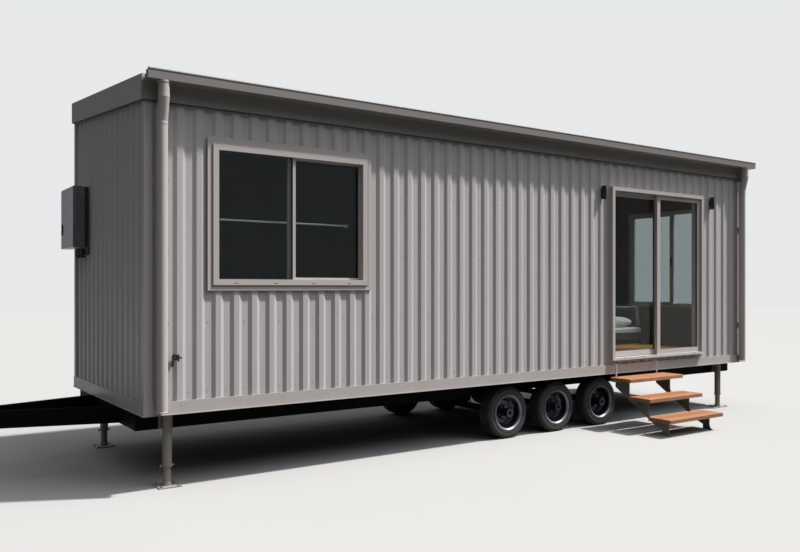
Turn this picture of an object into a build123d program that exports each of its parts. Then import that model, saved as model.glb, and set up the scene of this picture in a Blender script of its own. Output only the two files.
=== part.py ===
from build123d import *
import math
import os

# Tiny house on a tri-axle trailer: rib-clad box with a mono-pitch roof that falls to the
# front, a sliding door with steps, windows in the front and the right end, and four jack legs.
# Millimetres. Sizes are given in the house frame: x from the left end, y from the front, z up.

# Body
body_length = 8400.0
body_width = 2400.0
wall_core = 90.0             # studs, insulation and lining behind the cladding
floor_underside = 626.0
floor_top = 788.0

# Rib cladding
rib_start = 74.0             # first rise on the long walls, from the left end
rib_pitch = 165.8
rib_crest = 46.0
rib_web = 31.0
rib_depth = 16.0
sheet_base = 4.0
end_rib_start = 133.0        # first rise on the end walls, from the front
corner_cover = 70.0          # width of a corner trim on each face
trim_sheet = 4.0

# Base trim
base_trim_height = 110.0
base_trim_proud = 8.0
drip_lip = 7.0
drip_sheet = 5.0

# Roof
roof_pitch = 5.2             # degrees, falling to the front
roof_underside = 3240.0      # over the front face
roof_panel_depth = 110.0
roof_sheet_base = 3.0
roof_rib_pitch = 190.0
roof_rib_crest = 34.0
roof_rib_web = 22.0
roof_rib_height = 24.0
roof_rib_start = 60.0
roof_overhang = 60.0
fascia_drop = 64.0           # fascia's lower edge below the roof panel
fascia_proud = 25.0
barge_flange = 120.0

# Gutter and downpipes
gutter_width = 120.0
gutter_height = 70.0
gutter_drop = 27.0           # gutter's bottom below the roof deck
gutter_bead = 10.0           # radius of the roll along its front lip
gutter_sheet = 4.0
gutter_beyond = 40.0         # past the right end of the body
gutter_short = 10.0          # past the left end of the body
pipe_radius = 45.0
pipe_from_end = 140.0
pipe_upper_y = -100.0
pipe_lower_y = -58.0
pipe_upper_run = 133.0       # straight drop under the gutter
pipe_bend_run = 180.0
pipe_above_base = 30.0
pipe_collar = 4.0
pipe_collar_height = 16.0
pipe_bracket_width = 60.0
pipe_bracket_height = 28.0

# Front window
window_left = 575.0
window_width = 1535.0
window_below_fascia = 294.0
window_height = 1194.0
window_bar = 50.0
window_mullion = 28.0
window_depth = 70.0
frame_proud = 22.0
surround_width = 46.0
surround_groove = 14.0
surround_proud = 11.0
head_flashing = 62.0
glass_thickness = 8.0
pane_front = 10.0            # first pane behind the cladding's face
pane_step = 34.0             # how far the sliding sash stands behind the first pane
sash_bar = 18.0
sash_overlap = 48.0

# Window in the right end wall
end_window_near = 400.0
end_window_width = 1550.0
end_window_below_fascia = 346.0
end_window_height = 1460.0

# Sliding door
door_left = 5572.0
door_width = 1809.0
door_below_fascia = 294.0
door_frame_depth = 110.0
door_frame_bar = 44.0
door_frame_proud = 50.0
sill_rise = 30.0
sill_nose = 8.0
leaf_thickness = 36.0
leaf_stile = 60.0
leaf_top_rail = 55.0
leaf_bottom_rail = 65.0
leaf_overlap = 70.0
leaf_gap = 8.0               # between the two leaves, front to back
leaf_running_gap = 6.0       # above, below and beside a leaf
outer_track_y = -24.0
roller_radius = 11.0
roller_gap = 0.3
pull_height = 240.0
pull_width = 22.0
pull_reach = 26.0
pull_bar = 10.0
pull_above_floor = 1000.0

# Wall fittings
lamp_from_door = 140.0
lamp_radius = 27.0
lamp_height = 150.0
lamp_stand_off = 8.0
lamp_below_head = 83.0       # lamp's middle below the door head
heater_from_rear = 110.0
heater_width = 495.0
heater_bottom = 2060.0
heater_height = 606.0
heater_depth = 160.0
heater_gap = 12.0            # behind it, on its two mounting rails
heater_tray = 45.0
heater_slope = 16.0
heater_plate = 4.0
heater_chamfer = 16.0
vent_width = 96.0
vent_height = 112.0
vent_from_bottom = 138.0
vent_from_edge = 22.0
vent_recess = 26.0
heater_pipe_radius = 9.0
heater_pipe_drop = 84.0
valve_radius = 16.0
valve_height = 36.0
tap_x = 250.0
tap_z = 1096.0
tap_reach = 88.0
tap_flange = 24.0
tap_barrel = 13.0
tap_spout = 10.0
tap_spout_drop = 62.0
tap_handle = 58.0

# Chassis
chassis_depth = 150.0
chassis_bar = 50.0
chassis_corner = 8.0
rail_inset = 240.0           # outer face of the side rails behind the front face
rail_end_inset = 30.0
joist_depth = 80.0
joist_pitch = 620.0
wheel_bay_start = 3600.0
wheel_bay_end = 5960.0
axle_rail_y = 425.0
drawbar_reach = 1420.0       # apex ahead of the left end
drawbar_half_spread = 435.0  # half the distance between the arms at the left end

# Running gear
axle_count = 3
axle_spacing = 750.0
first_axle_x = 4030.0
tyre_radius = 285.0
tyre_width = 190.0
tyre_outer_y = 100.0
rim_radius = 195.0
rim_seat_radius = 178.0
stub_radius = 20.0
stub_inset = 70.0            # stub's tip behind the outer face of the tyre
hub_running_fit = 0.05
hub_radius = 48.0
hub_behind = 20.0            # hub past the inner face of the tyre
wheel_disc = 8.0
vent_holes = 8
vent_hole_radius = 12.0
axle_beam = 60.0
beam_end_gap = 12.0          # between the beam's end and the wheel hub
spring_half = 330.0
spring_leaf = 8.0
spring_leaves = 3
spring_width = 60.0
spring_rise = 70.0
spring_eye = 17.0
clamp_plate = 10.0
clamp_half = 50.0
clamp_bolt = 6.0
hanger_plate = 8.0
hanger_half = 66.0
hanger_drop = 24.0           # hanger plates below the middle of the spring eye
guard_sheet = 4.0
guard_clearance = 26.0
guard_inset = 60.0           # outer edge behind the front face

# Jack legs
leg_from_end = 250.0
leg_right_from_end = 350.0
leg_y = 190.0
leg_outer_radius = 40.0
leg_inner_radius = 32.0
leg_collar_z = 167.0
leg_collar = 5.0
leg_collar_height = 18.0
leg_foot = 190.0
leg_foot_plate = 10.0
leg_socket_height = 34.0
leg_bracket_half = 60.0
leg_bracket_plate = 10.0

# Steps
step_count = 3
step_width = 980.0
step_left = 5480.0
step_depth = 295.0
step_thickness = 42.0
step_edge = 5.0
step_rise = 200.0
step_top = 600.0
step_going = 272.0
step_first_front = -385.0
stringer_plate = 10.0
stringer_inset = 110.0
stringer_setback = 105.0     # its front edge behind the front of each tread
stringer_throat = 78.0       # radius from its front edge to the next tread
stringer_foot_flare = 60.0
stringer_leg = 84.0
stringer_arch = 90.0         # height of the cut behind the foot
stringer_back_z = 478.0      # lower end of its hanging bar
hook_bar = 14.0
cleat_width = 40.0
cleat_plate = 5.0

# Tow coupling
coupling_length = 250.0
ball_radius = 25.0
coupling_wall = 9.0
coupling_back_width = 90.0
coupling_back_height = 80.0
coupling_nose_height = 60.0
coupling_corner = 12.0
coupling_plate = 8.0
latch_length = 120.0
latch_width = 26.0
latch_thickness = 10.0

# Daybed in the rear right corner
daybed_length = 1680.0
daybed_depth = 660.0
daybed_height = 162.0
daybed_rail = 90.0
daybed_foot = 70.0
mattress_height = 96.0
mattress_inset = 12.0
cushion_height = 360.0
cushion_thickness = 150.0
pillow_length = 560.0
pillow_width = 500.0
pillow_height = 160.0
pillow_from_edge = 30.0
cushion_gap = 6.0

# Derived sizes
cladding = sheet_base + rib_depth
inner_face = cladding + wall_core
slope = math.tan(math.radians(roof_pitch))
roof_deck = roof_underside + roof_panel_depth
fascia_bottom = roof_underside - fascia_drop
base_trim_bottom = floor_underside
base_trim_top = base_trim_bottom + base_trim_height
door_right = door_left + door_width
door_head = fascia_bottom - door_below_fascia
window_right = window_left + window_width
window_head = fascia_bottom - window_below_fascia
window_sill = window_head - window_height
end_window_far = end_window_near + end_window_width
end_window_head = fascia_bottom - end_window_below_fascia
end_window_sill = end_window_head - end_window_height
rail_top = floor_underside
rail_bottom = rail_top - chassis_depth
rail_finish = body_length - rail_end_inset
mirror_y = body_width
axle_xs = [first_axle_x + i * axle_spacing for i in range(axle_count)]
wheel_centre_y = tyre_outer_y + tyre_width / 2
step_fronts = [step_first_front - i * step_going for i in range(step_count)]
step_tops = [step_top - i * step_rise for i in range(step_count)]

# The part's origin is the centre of its footprint
reach_left = -drawbar_reach - coupling_length
reach_right = body_length + gutter_beyond
reach_front = step_fronts[-1]
reach_rear = body_width + fascia_proud
x_left = -(reach_left + reach_right) / 2
y_front = -(reach_front + reach_rear) / 2

os.makedirs("parts", exist_ok=True)
pieces = []

ground = Plane(origin=(x_left, y_front, 0), x_dir=(1, 0, 0), z_dir=(0, 0, 1))
end_view = Plane(origin=(x_left, y_front, 0), x_dir=(0, 1, 0), z_dir=(1, 0, 0))
front_view = Plane(origin=(x_left, y_front, 0), x_dir=(1, 0, 0), z_dir=(0, -1, 0))


def block(x0, x1, y0, y1, z0, z1, mode=Mode.ADD):
    """Add or cut a rectangular block between limits in the house frame."""
    with Locations((x_left + (x0 + x1) / 2, y_front + (y0 + y1) / 2, (z0 + z1) / 2)):
        Box(x1 - x0, y1 - y0, z1 - z0, mode=mode)


def at(x, y, z):
    """A place in the house frame."""
    return (x_left + x, y_front + y, z)


def upright(radius, x, y, z0, z1, mode=Mode.ADD):
    """Add or cut a round bar between two heights."""
    with Locations(at(x, y, (z0 + z1) / 2)):
        Cylinder(radius, z1 - z0, mode=mode)


def bar_along_x(x0, x1, y0, y1, z0, z1, corner):
    """A rectangular steel section with rounded corners, running along the house."""
    with BuildSketch(end_view.offset(x0)) as section:
        with Locations(((y0 + y1) / 2, (z0 + z1) / 2)):
            RectangleRounded(y1 - y0, z1 - z0, corner)
    extrude(section.sketch, amount=x1 - x0)


def bar_along_y(x0, x1, y0, y1, z0, z1, corner):
    """A rectangular steel section with rounded corners, running across the house."""
    with BuildSketch(front_view.offset(-y0)) as section:
        with Locations(((x0 + x1) / 2, (z0 + z1) / 2)):
            RectangleRounded(x1 - x0, z1 - z0, corner)
    extrude(section.sketch, amount=y0 - y1)


def keep(piece, label):
    """Label a finished piece and put it on the list to write."""
    piece.part.label = label
    pieces.append(piece)


def roof_line(height, y):
    """Height at depth y of a roof plane that is at the given height over the front face."""
    return height + y * slope


def rib_profile(start, end, first, last, pitch, crest, web, depth, base):
    """Outline of a ribbed sheet: flat back at 0, pans at base, crests at base + depth.

    Whole ribs only, from first onwards and none past last.
    """
    rib = crest + 2 * web
    count = int((last - first - rib) // pitch) + 1
    points = [(start, 0), (start, base)]
    for i in range(count):
        rise = first + i * pitch
        points.append((rise, base))
        points.append((rise + web, base + depth))
        points.append((rise + web + crest, base + depth))
        points.append((rise + rib, base))
    points += [(end, base), (end, 0)]
    return points


def crest_near(x):
    """Middle of the cladding crest on a long wall that is nearest to x."""
    first_crest = rib_start + rib_web + rib_crest / 2
    return first_crest + rib_pitch * round((x - first_crest) / rib_pitch)


# Floor
with BuildPart() as floor_panel:
    block(cladding, body_length - cladding, cladding, body_width - cladding,
          floor_underside, floor_top)
keep(floor_panel, "floor_panel")


# Walls
def wall_with_sloping_top(x0, x1, y0, y1):
    """A wall core from the floor up to the sloping underside of the roof panel."""
    with BuildPart() as wall:
        with BuildSketch(end_view.offset(x0)):
            with BuildLine():
                Polyline((y0, floor_top), (y1, floor_top),
                         (y1, roof_line(roof_underside, y1)),
                         (y0, roof_line(roof_underside, y0)), close=True)
            make_face()
        extrude(amount=x1 - x0)
    return wall


front_wall = wall_with_sloping_top(cladding, door_left, cladding, inner_face)
with front_wall:
    block(window_left, window_right, 0, body_width / 2, window_sill, window_head, Mode.SUBTRACT)
keep(front_wall, "front_wall")

front_wall_over_door = wall_with_sloping_top(door_left, door_right, cladding, inner_face)
with front_wall_over_door:
    block(door_left, door_right, 0, body_width / 2, floor_top, door_head, Mode.SUBTRACT)
keep(front_wall_over_door, "front_wall_over_door")

front_wall_right = wall_with_sloping_top(door_right, body_length - cladding, cladding, inner_face)
keep(front_wall_right, "front_wall_right")

rear_wall = wall_with_sloping_top(cladding, body_length - cladding,
                                  body_width - inner_face, body_width - cladding)
keep(rear_wall, "rear_wall")

left_end_wall = wall_with_sloping_top(cladding, inner_face, inner_face, body_width - inner_face)
keep(left_end_wall, "left_end_wall")

right_end_wall = wall_with_sloping_top(body_length - inner_face, body_length - cladding,
                                       inner_face, body_width - inner_face)
with right_end_wall:
    block(body_length / 2, body_length, end_window_near, end_window_far,
          end_window_sill, end_window_head, Mode.SUBTRACT)
keep(right_end_wall, "right_end_wall")

# Roof panel between the claddings
with BuildPart() as roof_panel:
    with BuildSketch(end_view.offset(cladding)):
        with BuildLine():
            Polyline((cladding, roof_line(roof_underside, cladding)),
                     (body_width - cladding, roof_line(roof_underside, body_width - cladding)),
                     (body_width - cladding, roof_line(roof_deck, body_width - cladding)),
                     (cladding, roof_line(roof_deck, cladding)), close=True)
        make_face()
    extrude(amount=body_length - 2 * cladding)
keep(roof_panel, "roof_panel")

# Roof sheet, ribs running down the slope
with BuildPart() as roof_sheet:
    sheet_plane = Plane(origin=at(0, -roof_overhang, roof_line(roof_deck, -roof_overhang)),
                        x_dir=(1, 0, 0), z_dir=(0, -math.cos(math.radians(roof_pitch)),
                                                -math.sin(math.radians(roof_pitch))))
    with BuildSketch(sheet_plane):
        with BuildLine():
            Polyline(*rib_profile(0, body_length, roof_rib_start, body_length, roof_rib_pitch,
                                  roof_rib_crest, roof_rib_web, roof_rib_height,
                                  roof_sheet_base), close=True)
        make_face()
    extrude(amount=-(body_width + roof_overhang) / math.cos(math.radians(roof_pitch)))
keep(roof_sheet, "roof_sheet")

# Wall cladding: flat back against the wall, crests on the outer faces of the body
cladding_bottom = base_trim_bottom + trim_sheet
long_pattern = rib_profile(0, body_length, rib_start, body_length - corner_cover,
                           rib_pitch, rib_crest, rib_web, rib_depth, sheet_base)
end_pattern = rib_profile(cladding, body_width - cladding, end_rib_start,
                          body_width - corner_cover, rib_pitch, rib_crest, rib_web,
                          rib_depth, sheet_base)


def long_cladding(y_back, outward):
    """A ribbed sheet along the front or the rear; outward is the sign of its normal along y."""
    top = roof_line(roof_deck, y_back if outward < 0 else y_back + cladding)
    with BuildPart() as sheet:
        with BuildSketch(ground.offset(cladding_bottom)):
            with BuildLine():
                Polyline(*[(x, y_back + outward * v) for x, v in long_pattern], close=True)
            make_face()
        extrude(amount=top - cladding_bottom)
    return sheet


def end_cladding(x_back, outward):
    """A ribbed sheet over an end wall, its top cut to the slope of the roof."""
    with BuildPart() as sheet:
        with BuildSketch(ground.offset(cladding_bottom)):
            with BuildLine():
                Polyline(*[(x_back + outward * v, y) for y, v in end_pattern], close=True)
            make_face()
        extrude(amount=roof_line(roof_deck, body_width) - cladding_bottom)
        with BuildSketch(end_view.offset(x_back - 2 * cladding)):
            with BuildLine():
                Polyline((-body_width, roof_line(roof_deck, -body_width)),
                         (2 * body_width, roof_line(roof_deck, 2 * body_width)),
                         (2 * body_width, 3 * roof_deck), (-body_width, 3 * roof_deck), close=True)
            make_face()
        extrude(amount=4 * cladding, mode=Mode.SUBTRACT)
    return sheet


front_cladding = long_cladding(cladding, -1)
with front_cladding:
    block(window_left, window_right, -cladding, 2 * cladding, window_sill, window_head, Mode.SUBTRACT)
    block(door_left, door_right, -cladding, 2 * cladding, floor_top, door_head, Mode.SUBTRACT)
    block(-cladding, body_length + cladding, -cladding, 2 * cladding,
          roof_deck, 2 * roof_deck, Mode.SUBTRACT)
keep(front_cladding, "front_cladding")

rear_cladding = long_cladding(body_width - cladding, 1)
with rear_cladding:
    block(-cladding, body_length + cladding, body_width - 2 * cladding, body_width + cladding,
          roof_line(roof_deck, body_width - cladding), 2 * roof_deck, Mode.SUBTRACT)
keep(rear_cladding, "rear_cladding")

left_end_cladding = end_cladding(cladding, -1)
keep(left_end_cladding, "left_end_cladding")

right_end_cladding = end_cladding(body_length - cladding, 1)
with right_end_cladding:
    block(body_length - 2 * cladding, body_length + cladding, end_window_near, end_window_far,
          end_window_sill, end_window_head, Mode.SUBTRACT)
keep(right_end_cladding, "right_end_cladding")

# Corner trims: an angle over each vertical corner, its edges returned to the pans of the sheets
t, w, d = trim_sheet, corner_cover, rib_depth
corner_profile = [(-t, -t), (w, -t), (w, d), (w - t, d), (w - t, 0),
                  (0, 0), (0, w - t), (d, w - t), (d, w), (-t, w)]
with BuildPart() as corner_trims:
    for corner_x, inward_x in ((0, 1), (body_length, -1)):
        for corner_y, inward_y in ((0, 1), (body_width, -1)):
            with BuildSketch(ground.offset(base_trim_top)):
                with BuildLine():
                    Polyline(*[(corner_x + inward_x * u, corner_y + inward_y * v)
                               for u, v in corner_profile], close=True)
                make_face()
            extrude(amount=roof_line(fascia_bottom, body_width) - base_trim_top)
    with BuildSketch(end_view.offset(-fascia_proud)):
        with BuildLine():
            Polyline((-body_width, fascia_bottom), (0, fascia_bottom),
                     (2 * body_width, roof_line(fascia_bottom, 2 * body_width)),
                     (2 * body_width, 2 * roof_deck), (-body_width, 2 * roof_deck), close=True)
        make_face()
    extrude(amount=body_length + 2 * fascia_proud, mode=Mode.SUBTRACT)
keep(corner_trims, "corner_trims")

# Base trim: an apron round the foot of the cladding, with a drip lip and a return under the sheet
with BuildPart() as base_trim:
    block(-base_trim_proud, body_length + base_trim_proud, -base_trim_proud,
          body_width + base_trim_proud, base_trim_bottom, base_trim_top)
    drip = base_trim_proud + drip_lip
    block(-drip, body_length + drip, -drip, body_width + drip,
          base_trim_bottom, base_trim_bottom + drip_sheet)
    block(0, body_length, 0, body_width, cladding_bottom, base_trim_top, Mode.SUBTRACT)
    block(cladding, body_length - cladding, cladding, body_width - cladding,
          0, base_trim_top, Mode.SUBTRACT)
keep(base_trim, "base_trim")

# Front fascia
with BuildPart() as front_fascia:
    block(-fascia_proud, body_length + fascia_proud, -fascia_proud, 0,
          fascia_bottom, roof_line(roof_deck, -fascia_proud))
keep(front_fascia, "front_fascia")


# Barge trims: a face and a top flange at each end, joined by the cap along the high edge
def barge_outline(y0, y1, bottom, top):
    """A strip that follows the roof slope between two depths."""
    return [(y0, roof_line(bottom, y0)), (y1, roof_line(bottom, y1)),
            (y1, roof_line(top, y1)), (y0, roof_line(top, y0))]


roof_crest = roof_deck + (roof_sheet_base + roof_rib_height) / math.cos(math.radians(roof_pitch))
flange_under = roof_crest + 1.0
with BuildPart() as barge_trims:
    with BuildSketch(end_view.offset(-fascia_proud)):
        with BuildLine():
            Polyline(*barge_outline(-fascia_proud, body_width + fascia_proud,
                                    fascia_bottom, flange_under + trim_sheet), close=True)
        make_face()
    extrude(amount=body_length + 2 * fascia_proud)
    with BuildSketch(end_view.offset(0)):
        with BuildLine():
            Polyline(*barge_outline(-2 * fascia_proud, body_width, 0, flange_under), close=True)
        make_face()
    extrude(amount=body_length, mode=Mode.SUBTRACT)
    block(barge_flange, body_length - barge_flange, -body_width, body_width - barge_flange,
          0, 2 * roof_deck, Mode.SUBTRACT)
    block(-2 * fascia_proud, body_length + 2 * fascia_proud, -2 * fascia_proud, 0,
          0, roof_line(roof_deck, 0), Mode.SUBTRACT)
keep(barge_trims, "barge_trims")

# Gutter: a square channel with closed ends and a round bead that stands proud along its front lip
gutter_bottom = roof_deck - gutter_drop
gutter_top = gutter_bottom + gutter_height
gutter_back = -fascia_proud
gutter_front = gutter_back - gutter_width
with BuildPart() as gutter:
    block(-gutter_short, reach_right, gutter_front, gutter_back, gutter_bottom, gutter_top)
    block(-gutter_short + gutter_sheet, reach_right - gutter_sheet,
          gutter_front + gutter_sheet, gutter_back - gutter_sheet,
          gutter_bottom + gutter_sheet, gutter_top, Mode.SUBTRACT)
    with BuildSketch(end_view.offset(-gutter_short)):
        with Locations((gutter_front + gutter_bead - gutter_sheet, gutter_top + gutter_bead / 2)):
            Circle(gutter_bead)
    extrude(amount=reach_right + gutter_short)
    block(-gutter_short, reach_right, gutter_back - roof_overhang, gutter_back,
          roof_line(roof_deck, -roof_overhang) - 1.0, 2 * roof_deck, Mode.SUBTRACT)
keep(gutter, "gutter")

# Downpipes: straight from the gutter, a swan neck back to the wall and straight down
pipe_xs = [crest_near(pipe_from_end), crest_near(body_length - pipe_from_end)]
pipe_bend_top = gutter_bottom - pipe_upper_run
pipe_bend_bottom = pipe_bend_top - pipe_bend_run
pipe_foot = floor_underside + pipe_above_base
pipe_run = pipe_bend_bottom - pipe_foot
with BuildPart() as downpipes:
    for pipe_x in pipe_xs:
        with BuildLine() as pipe_path:
            FilletPolyline(at(pipe_x, pipe_upper_y, gutter_bottom),
                           at(pipe_x, pipe_upper_y, pipe_bend_top),
                           at(pipe_x, pipe_lower_y, pipe_bend_bottom),
                           at(pipe_x, pipe_lower_y, pipe_foot), radius=pipe_radius * 1.2)
        with BuildSketch(Plane(origin=at(pipe_x, pipe_upper_y, gutter_bottom), z_dir=(0, 0, -1))):
            Circle(pipe_radius)
        sweep(path=pipe_path.wires()[0])
        upright(pipe_radius + pipe_collar, pipe_x, pipe_upper_y,
                gutter_bottom - pipe_collar_height, gutter_bottom)
        for share in (0.22, 0.78):
            bracket_z = pipe_foot + share * pipe_run
            block(pipe_x - pipe_bracket_width / 2, pipe_x + pipe_bracket_width / 2, pipe_lower_y, 0,
                  bracket_z - pipe_bracket_height / 2, bracket_z + pipe_bracket_height / 2)
        upright(pipe_radius - gutter_sheet, pipe_x, pipe_lower_y, pipe_foot,
                pipe_foot + pipe_radius, Mode.SUBTRACT)
keep(downpipes, "downpipes")


# Windows
def window_frame_piece(x0, width, z0, height):
    """A two-pane window frame through the wall, with a folded surround on the cladding."""
    middle_x = x0 + width / 2
    middle_z = z0 + height / 2
    sash_left = middle_x - sash_overlap
    sash_right = x0 + width - window_bar
    sash_low = z0 + window_bar
    sash_high = z0 + height - window_bar
    with BuildPart() as frame:
        with BuildSketch(window_plane.offset(frame_proud)):
            with Locations((middle_x, middle_z)):
                Rectangle(width, height)
                Rectangle(width - 2 * window_bar, height - 2 * window_bar, mode=Mode.SUBTRACT)
        extrude(amount=-(frame_proud + window_depth))
        with BuildSketch(window_plane):
            with Locations((middle_x, middle_z)):
                Rectangle(window_mullion, height - window_bar)
        extrude(amount=-window_depth)
        with BuildSketch(window_plane.offset(-(pane_front + pane_step - sash_bar / 2))):
            with Locations(((sash_left + sash_right) / 2, (sash_low + sash_high) / 2)):
                Rectangle(sash_right - sash_left, sash_high - sash_low)
            with Locations(((middle_x + sash_right) / 2, (sash_low + sash_high) / 2)):
                Rectangle(sash_right - middle_x - 2 * sash_bar,
                          sash_high - sash_low - 2 * sash_bar, mode=Mode.SUBTRACT)
        extrude(amount=-(glass_thickness + sash_bar))
        with BuildSketch(window_plane):
            with Locations((middle_x, z0 + (height - surround_width + head_flashing) / 2)):
                Rectangle(width + 2 * surround_width, height + surround_width + head_flashing)
            with Locations((middle_x, middle_z)):
                Rectangle(width - window_bar, height - window_bar, mode=Mode.SUBTRACT)
        extrude(amount=trim_sheet)
        with BuildSketch(window_plane):
            with Locations((middle_x, z0 + (height - surround_width) / 2)):
                Rectangle(width + 2 * surround_width, height + surround_width)
            with Locations((middle_x, z0 + height / 2)):
                Rectangle(width + 2 * surround_groove, height + 2 * surround_groove,
                          mode=Mode.SUBTRACT)
        extrude(amount=surround_proud)
    return frame


window_plane = front_view
front_window_frame = window_frame_piece(window_left, window_width, window_sill, window_height)
keep(front_window_frame, "front_window_frame")

window_plane = Plane(origin=(x_left + body_length, y_front, 0), x_dir=(0, 1, 0), z_dir=(1, 0, 0))
end_window_frame = window_frame_piece(end_window_near, end_window_width,
                                      end_window_sill, end_window_height)
keep(end_window_frame, "end_window_frame")


# Glass panes: the first in front, the other in the sash that slides behind the mullion
def pane_limits(start, end, sill, head):
    """Both panes as limits along the wall, height and depth behind the wall's face."""
    middle = (start + end) / 2
    first = (start + window_bar, middle - window_mullion / 2, sill + window_bar,
             head - window_bar, pane_front)
    second = (middle + sash_bar, end - window_bar - sash_bar, sill + window_bar + sash_bar,
              head - window_bar - sash_bar, pane_front + pane_step)
    return first, second


with BuildPart() as front_window_glass:
    for start, end, low, high, depth in pane_limits(window_left, window_right, window_sill,
                                                    window_head):
        block(start, end, depth, depth + glass_thickness, low, high)
keep(front_window_glass, "front_window_glass")

with BuildPart() as end_window_glass:
    for start, end, low, high, depth in pane_limits(end_window_near, end_window_far,
                                                    end_window_sill, end_window_head):
        block(body_length - depth - glass_thickness, body_length - depth, start, end, low, high)
keep(end_window_glass, "end_window_glass")

# Door frame: head, jambs and a two-track sill with a nose, standing proud of the cladding
opening_left = door_left + door_frame_bar
opening_right = door_right - door_frame_bar
opening_bottom = floor_top + sill_rise
opening_top = door_head - door_frame_bar
with BuildPart() as door_frame:
    block(door_left, door_right, -door_frame_proud, door_frame_depth, floor_top, door_head)
    block(opening_left, opening_right, -2 * door_frame_proud, 2 * door_frame_depth,
          opening_bottom, opening_top, Mode.SUBTRACT)
    block(door_left, door_right, -door_frame_proud - sill_nose, 0,
          floor_top, floor_top + sill_rise / 2)
keep(door_frame, "door_frame")


def leaf_piece(x0, x1, y0, z0, z1):
    """A door leaf: stiles, a top rail and a deeper bottom rail round an open middle."""
    with BuildPart() as leaf:
        block(x0, x1, y0, y0 + leaf_thickness, z0, z1)
        block(x0 + leaf_stile, x1 - leaf_stile, y0 - leaf_thickness, y0 + 2 * leaf_thickness,
              z0 + leaf_bottom_rail, z1 - leaf_top_rail, Mode.SUBTRACT)
    return leaf


def leaf_glass_piece(x0, x1, y0, z0, z1):
    """The glass of a leaf, in the middle of its thickness."""
    with BuildPart() as glass:
        middle_y = y0 + leaf_thickness / 2
        block(x0 + leaf_stile, x1 - leaf_stile, middle_y - glass_thickness / 2,
              middle_y + glass_thickness / 2, z0 + leaf_bottom_rail, z1 - leaf_top_rail)
    return glass


# The right leaf is fixed in the outer track; the left leaf slides behind it in the inner track
leaf_width = (opening_right - opening_left + leaf_overlap) / 2
inner_track_y = outer_track_y + leaf_thickness + leaf_gap
fixed_leaf_limits = (opening_right - leaf_width, opening_right, outer_track_y,
                     opening_bottom, opening_top)
sliding_leaf_limits = (opening_left + leaf_running_gap, opening_left + leaf_width, inner_track_y,
                       opening_bottom + leaf_running_gap, opening_top - leaf_running_gap)

door_fixed_leaf = leaf_piece(*fixed_leaf_limits)
keep(door_fixed_leaf, "door_fixed_leaf")
door_fixed_glass = leaf_glass_piece(*fixed_leaf_limits)
keep(door_fixed_glass, "door_fixed_glass")

pull_x = sliding_leaf_limits[0] + leaf_stile / 2
pull_z = floor_top + pull_above_floor
door_sliding_leaf = leaf_piece(*sliding_leaf_limits)
with door_sliding_leaf:
    for roller_x in (opening_left + leaf_width / 6, opening_left + leaf_width * 5 / 6):
        with Locations(at(roller_x, inner_track_y + leaf_thickness / 2,
                          opening_bottom + roller_gap + roller_radius)):
            Cylinder(roller_radius, leaf_thickness / 3, rotation=(90, 0, 0))
    for face_y, out in ((inner_track_y, -1), (inner_track_y + leaf_thickness, 1)):
        grip_y = face_y + out * (pull_reach - pull_bar)
        block(pull_x - pull_width / 2, pull_x + pull_width / 2, min(grip_y, grip_y + out * pull_bar),
              max(grip_y, grip_y + out * pull_bar), pull_z - pull_height / 2, pull_z + pull_height / 2)
        for end_z in (pull_z - pull_height / 2, pull_z + pull_height / 2 - pull_width):
            block(pull_x - pull_width / 2, pull_x + pull_width / 2, min(face_y, grip_y),
                  max(face_y, grip_y), end_z, end_z + pull_width)
keep(door_sliding_leaf, "door_sliding_leaf")
door_sliding_glass = leaf_glass_piece(*sliding_leaf_limits)
keep(door_sliding_glass, "door_sliding_glass")

# Wall lamps: a round body on a back plate, on the crests of the cladding beside the door
lamp_centre = door_head - lamp_below_head
with BuildPart() as wall_lamps:
    for lamp_x in (crest_near(door_left - lamp_from_door), crest_near(door_right + lamp_from_door)):
        block(lamp_x - rib_crest / 2, lamp_x + rib_crest / 2, -lamp_stand_off - lamp_radius, 0,
              lamp_centre - lamp_height / 4, lamp_centre + lamp_height / 4)
        upright(lamp_radius, lamp_x, -lamp_stand_off - lamp_radius,
                lamp_centre - lamp_height / 2, lamp_centre + lamp_height / 2)
keep(wall_lamps, "wall_lamps")

# Water heater on the left end: a cover over a shallow tray, on two mounting rails
heater_near = body_width - heater_from_rear - heater_width
heater_far = heater_near + heater_width
heater_top = heater_bottom + heater_height
tray_front = -heater_gap - heater_tray
pipe_turn_z = heater_bottom - heater_pipe_drop
plate_bottom = pipe_turn_z + heater_pipe_radius * 1.5
with BuildPart() as water_heater:
    with BuildSketch(front_view.offset(-heater_near)):
        with BuildLine():
            Polyline((tray_front, heater_bottom), (-heater_depth, heater_bottom),
                     (-heater_depth, heater_top - heater_slope),
                     (-heater_depth + heater_slope, heater_top), (tray_front, heater_top), close=True)
        make_face()
    extrude(amount=-heater_width)
    chamfer(water_heater.edges().filter_by(Axis.Z).group_by(Axis.X)[0], heater_chamfer)
    block(tray_front, -heater_gap, heater_near + trim_sheet, heater_far - trim_sheet,
          heater_bottom + trim_sheet, heater_top - trim_sheet)
    for rail_z in (heater_bottom + heater_height * 0.15, heater_bottom + heater_height * 0.8):
        block(-heater_gap, 0, heater_near + heater_tray, heater_far - heater_tray,
              rail_z, rail_z + heater_tray)
    block(-heater_gap, -heater_gap + heater_plate, heater_near, heater_far, plate_bottom, heater_top)
    vent_far = heater_far - vent_from_edge
    vent_low = heater_bottom + vent_from_bottom
    block(-heater_depth - 1, -heater_depth + vent_recess, vent_far - vent_width, vent_far,
          vent_low, vent_low + vent_height, Mode.SUBTRACT)
keep(water_heater, "water_heater")

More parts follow.
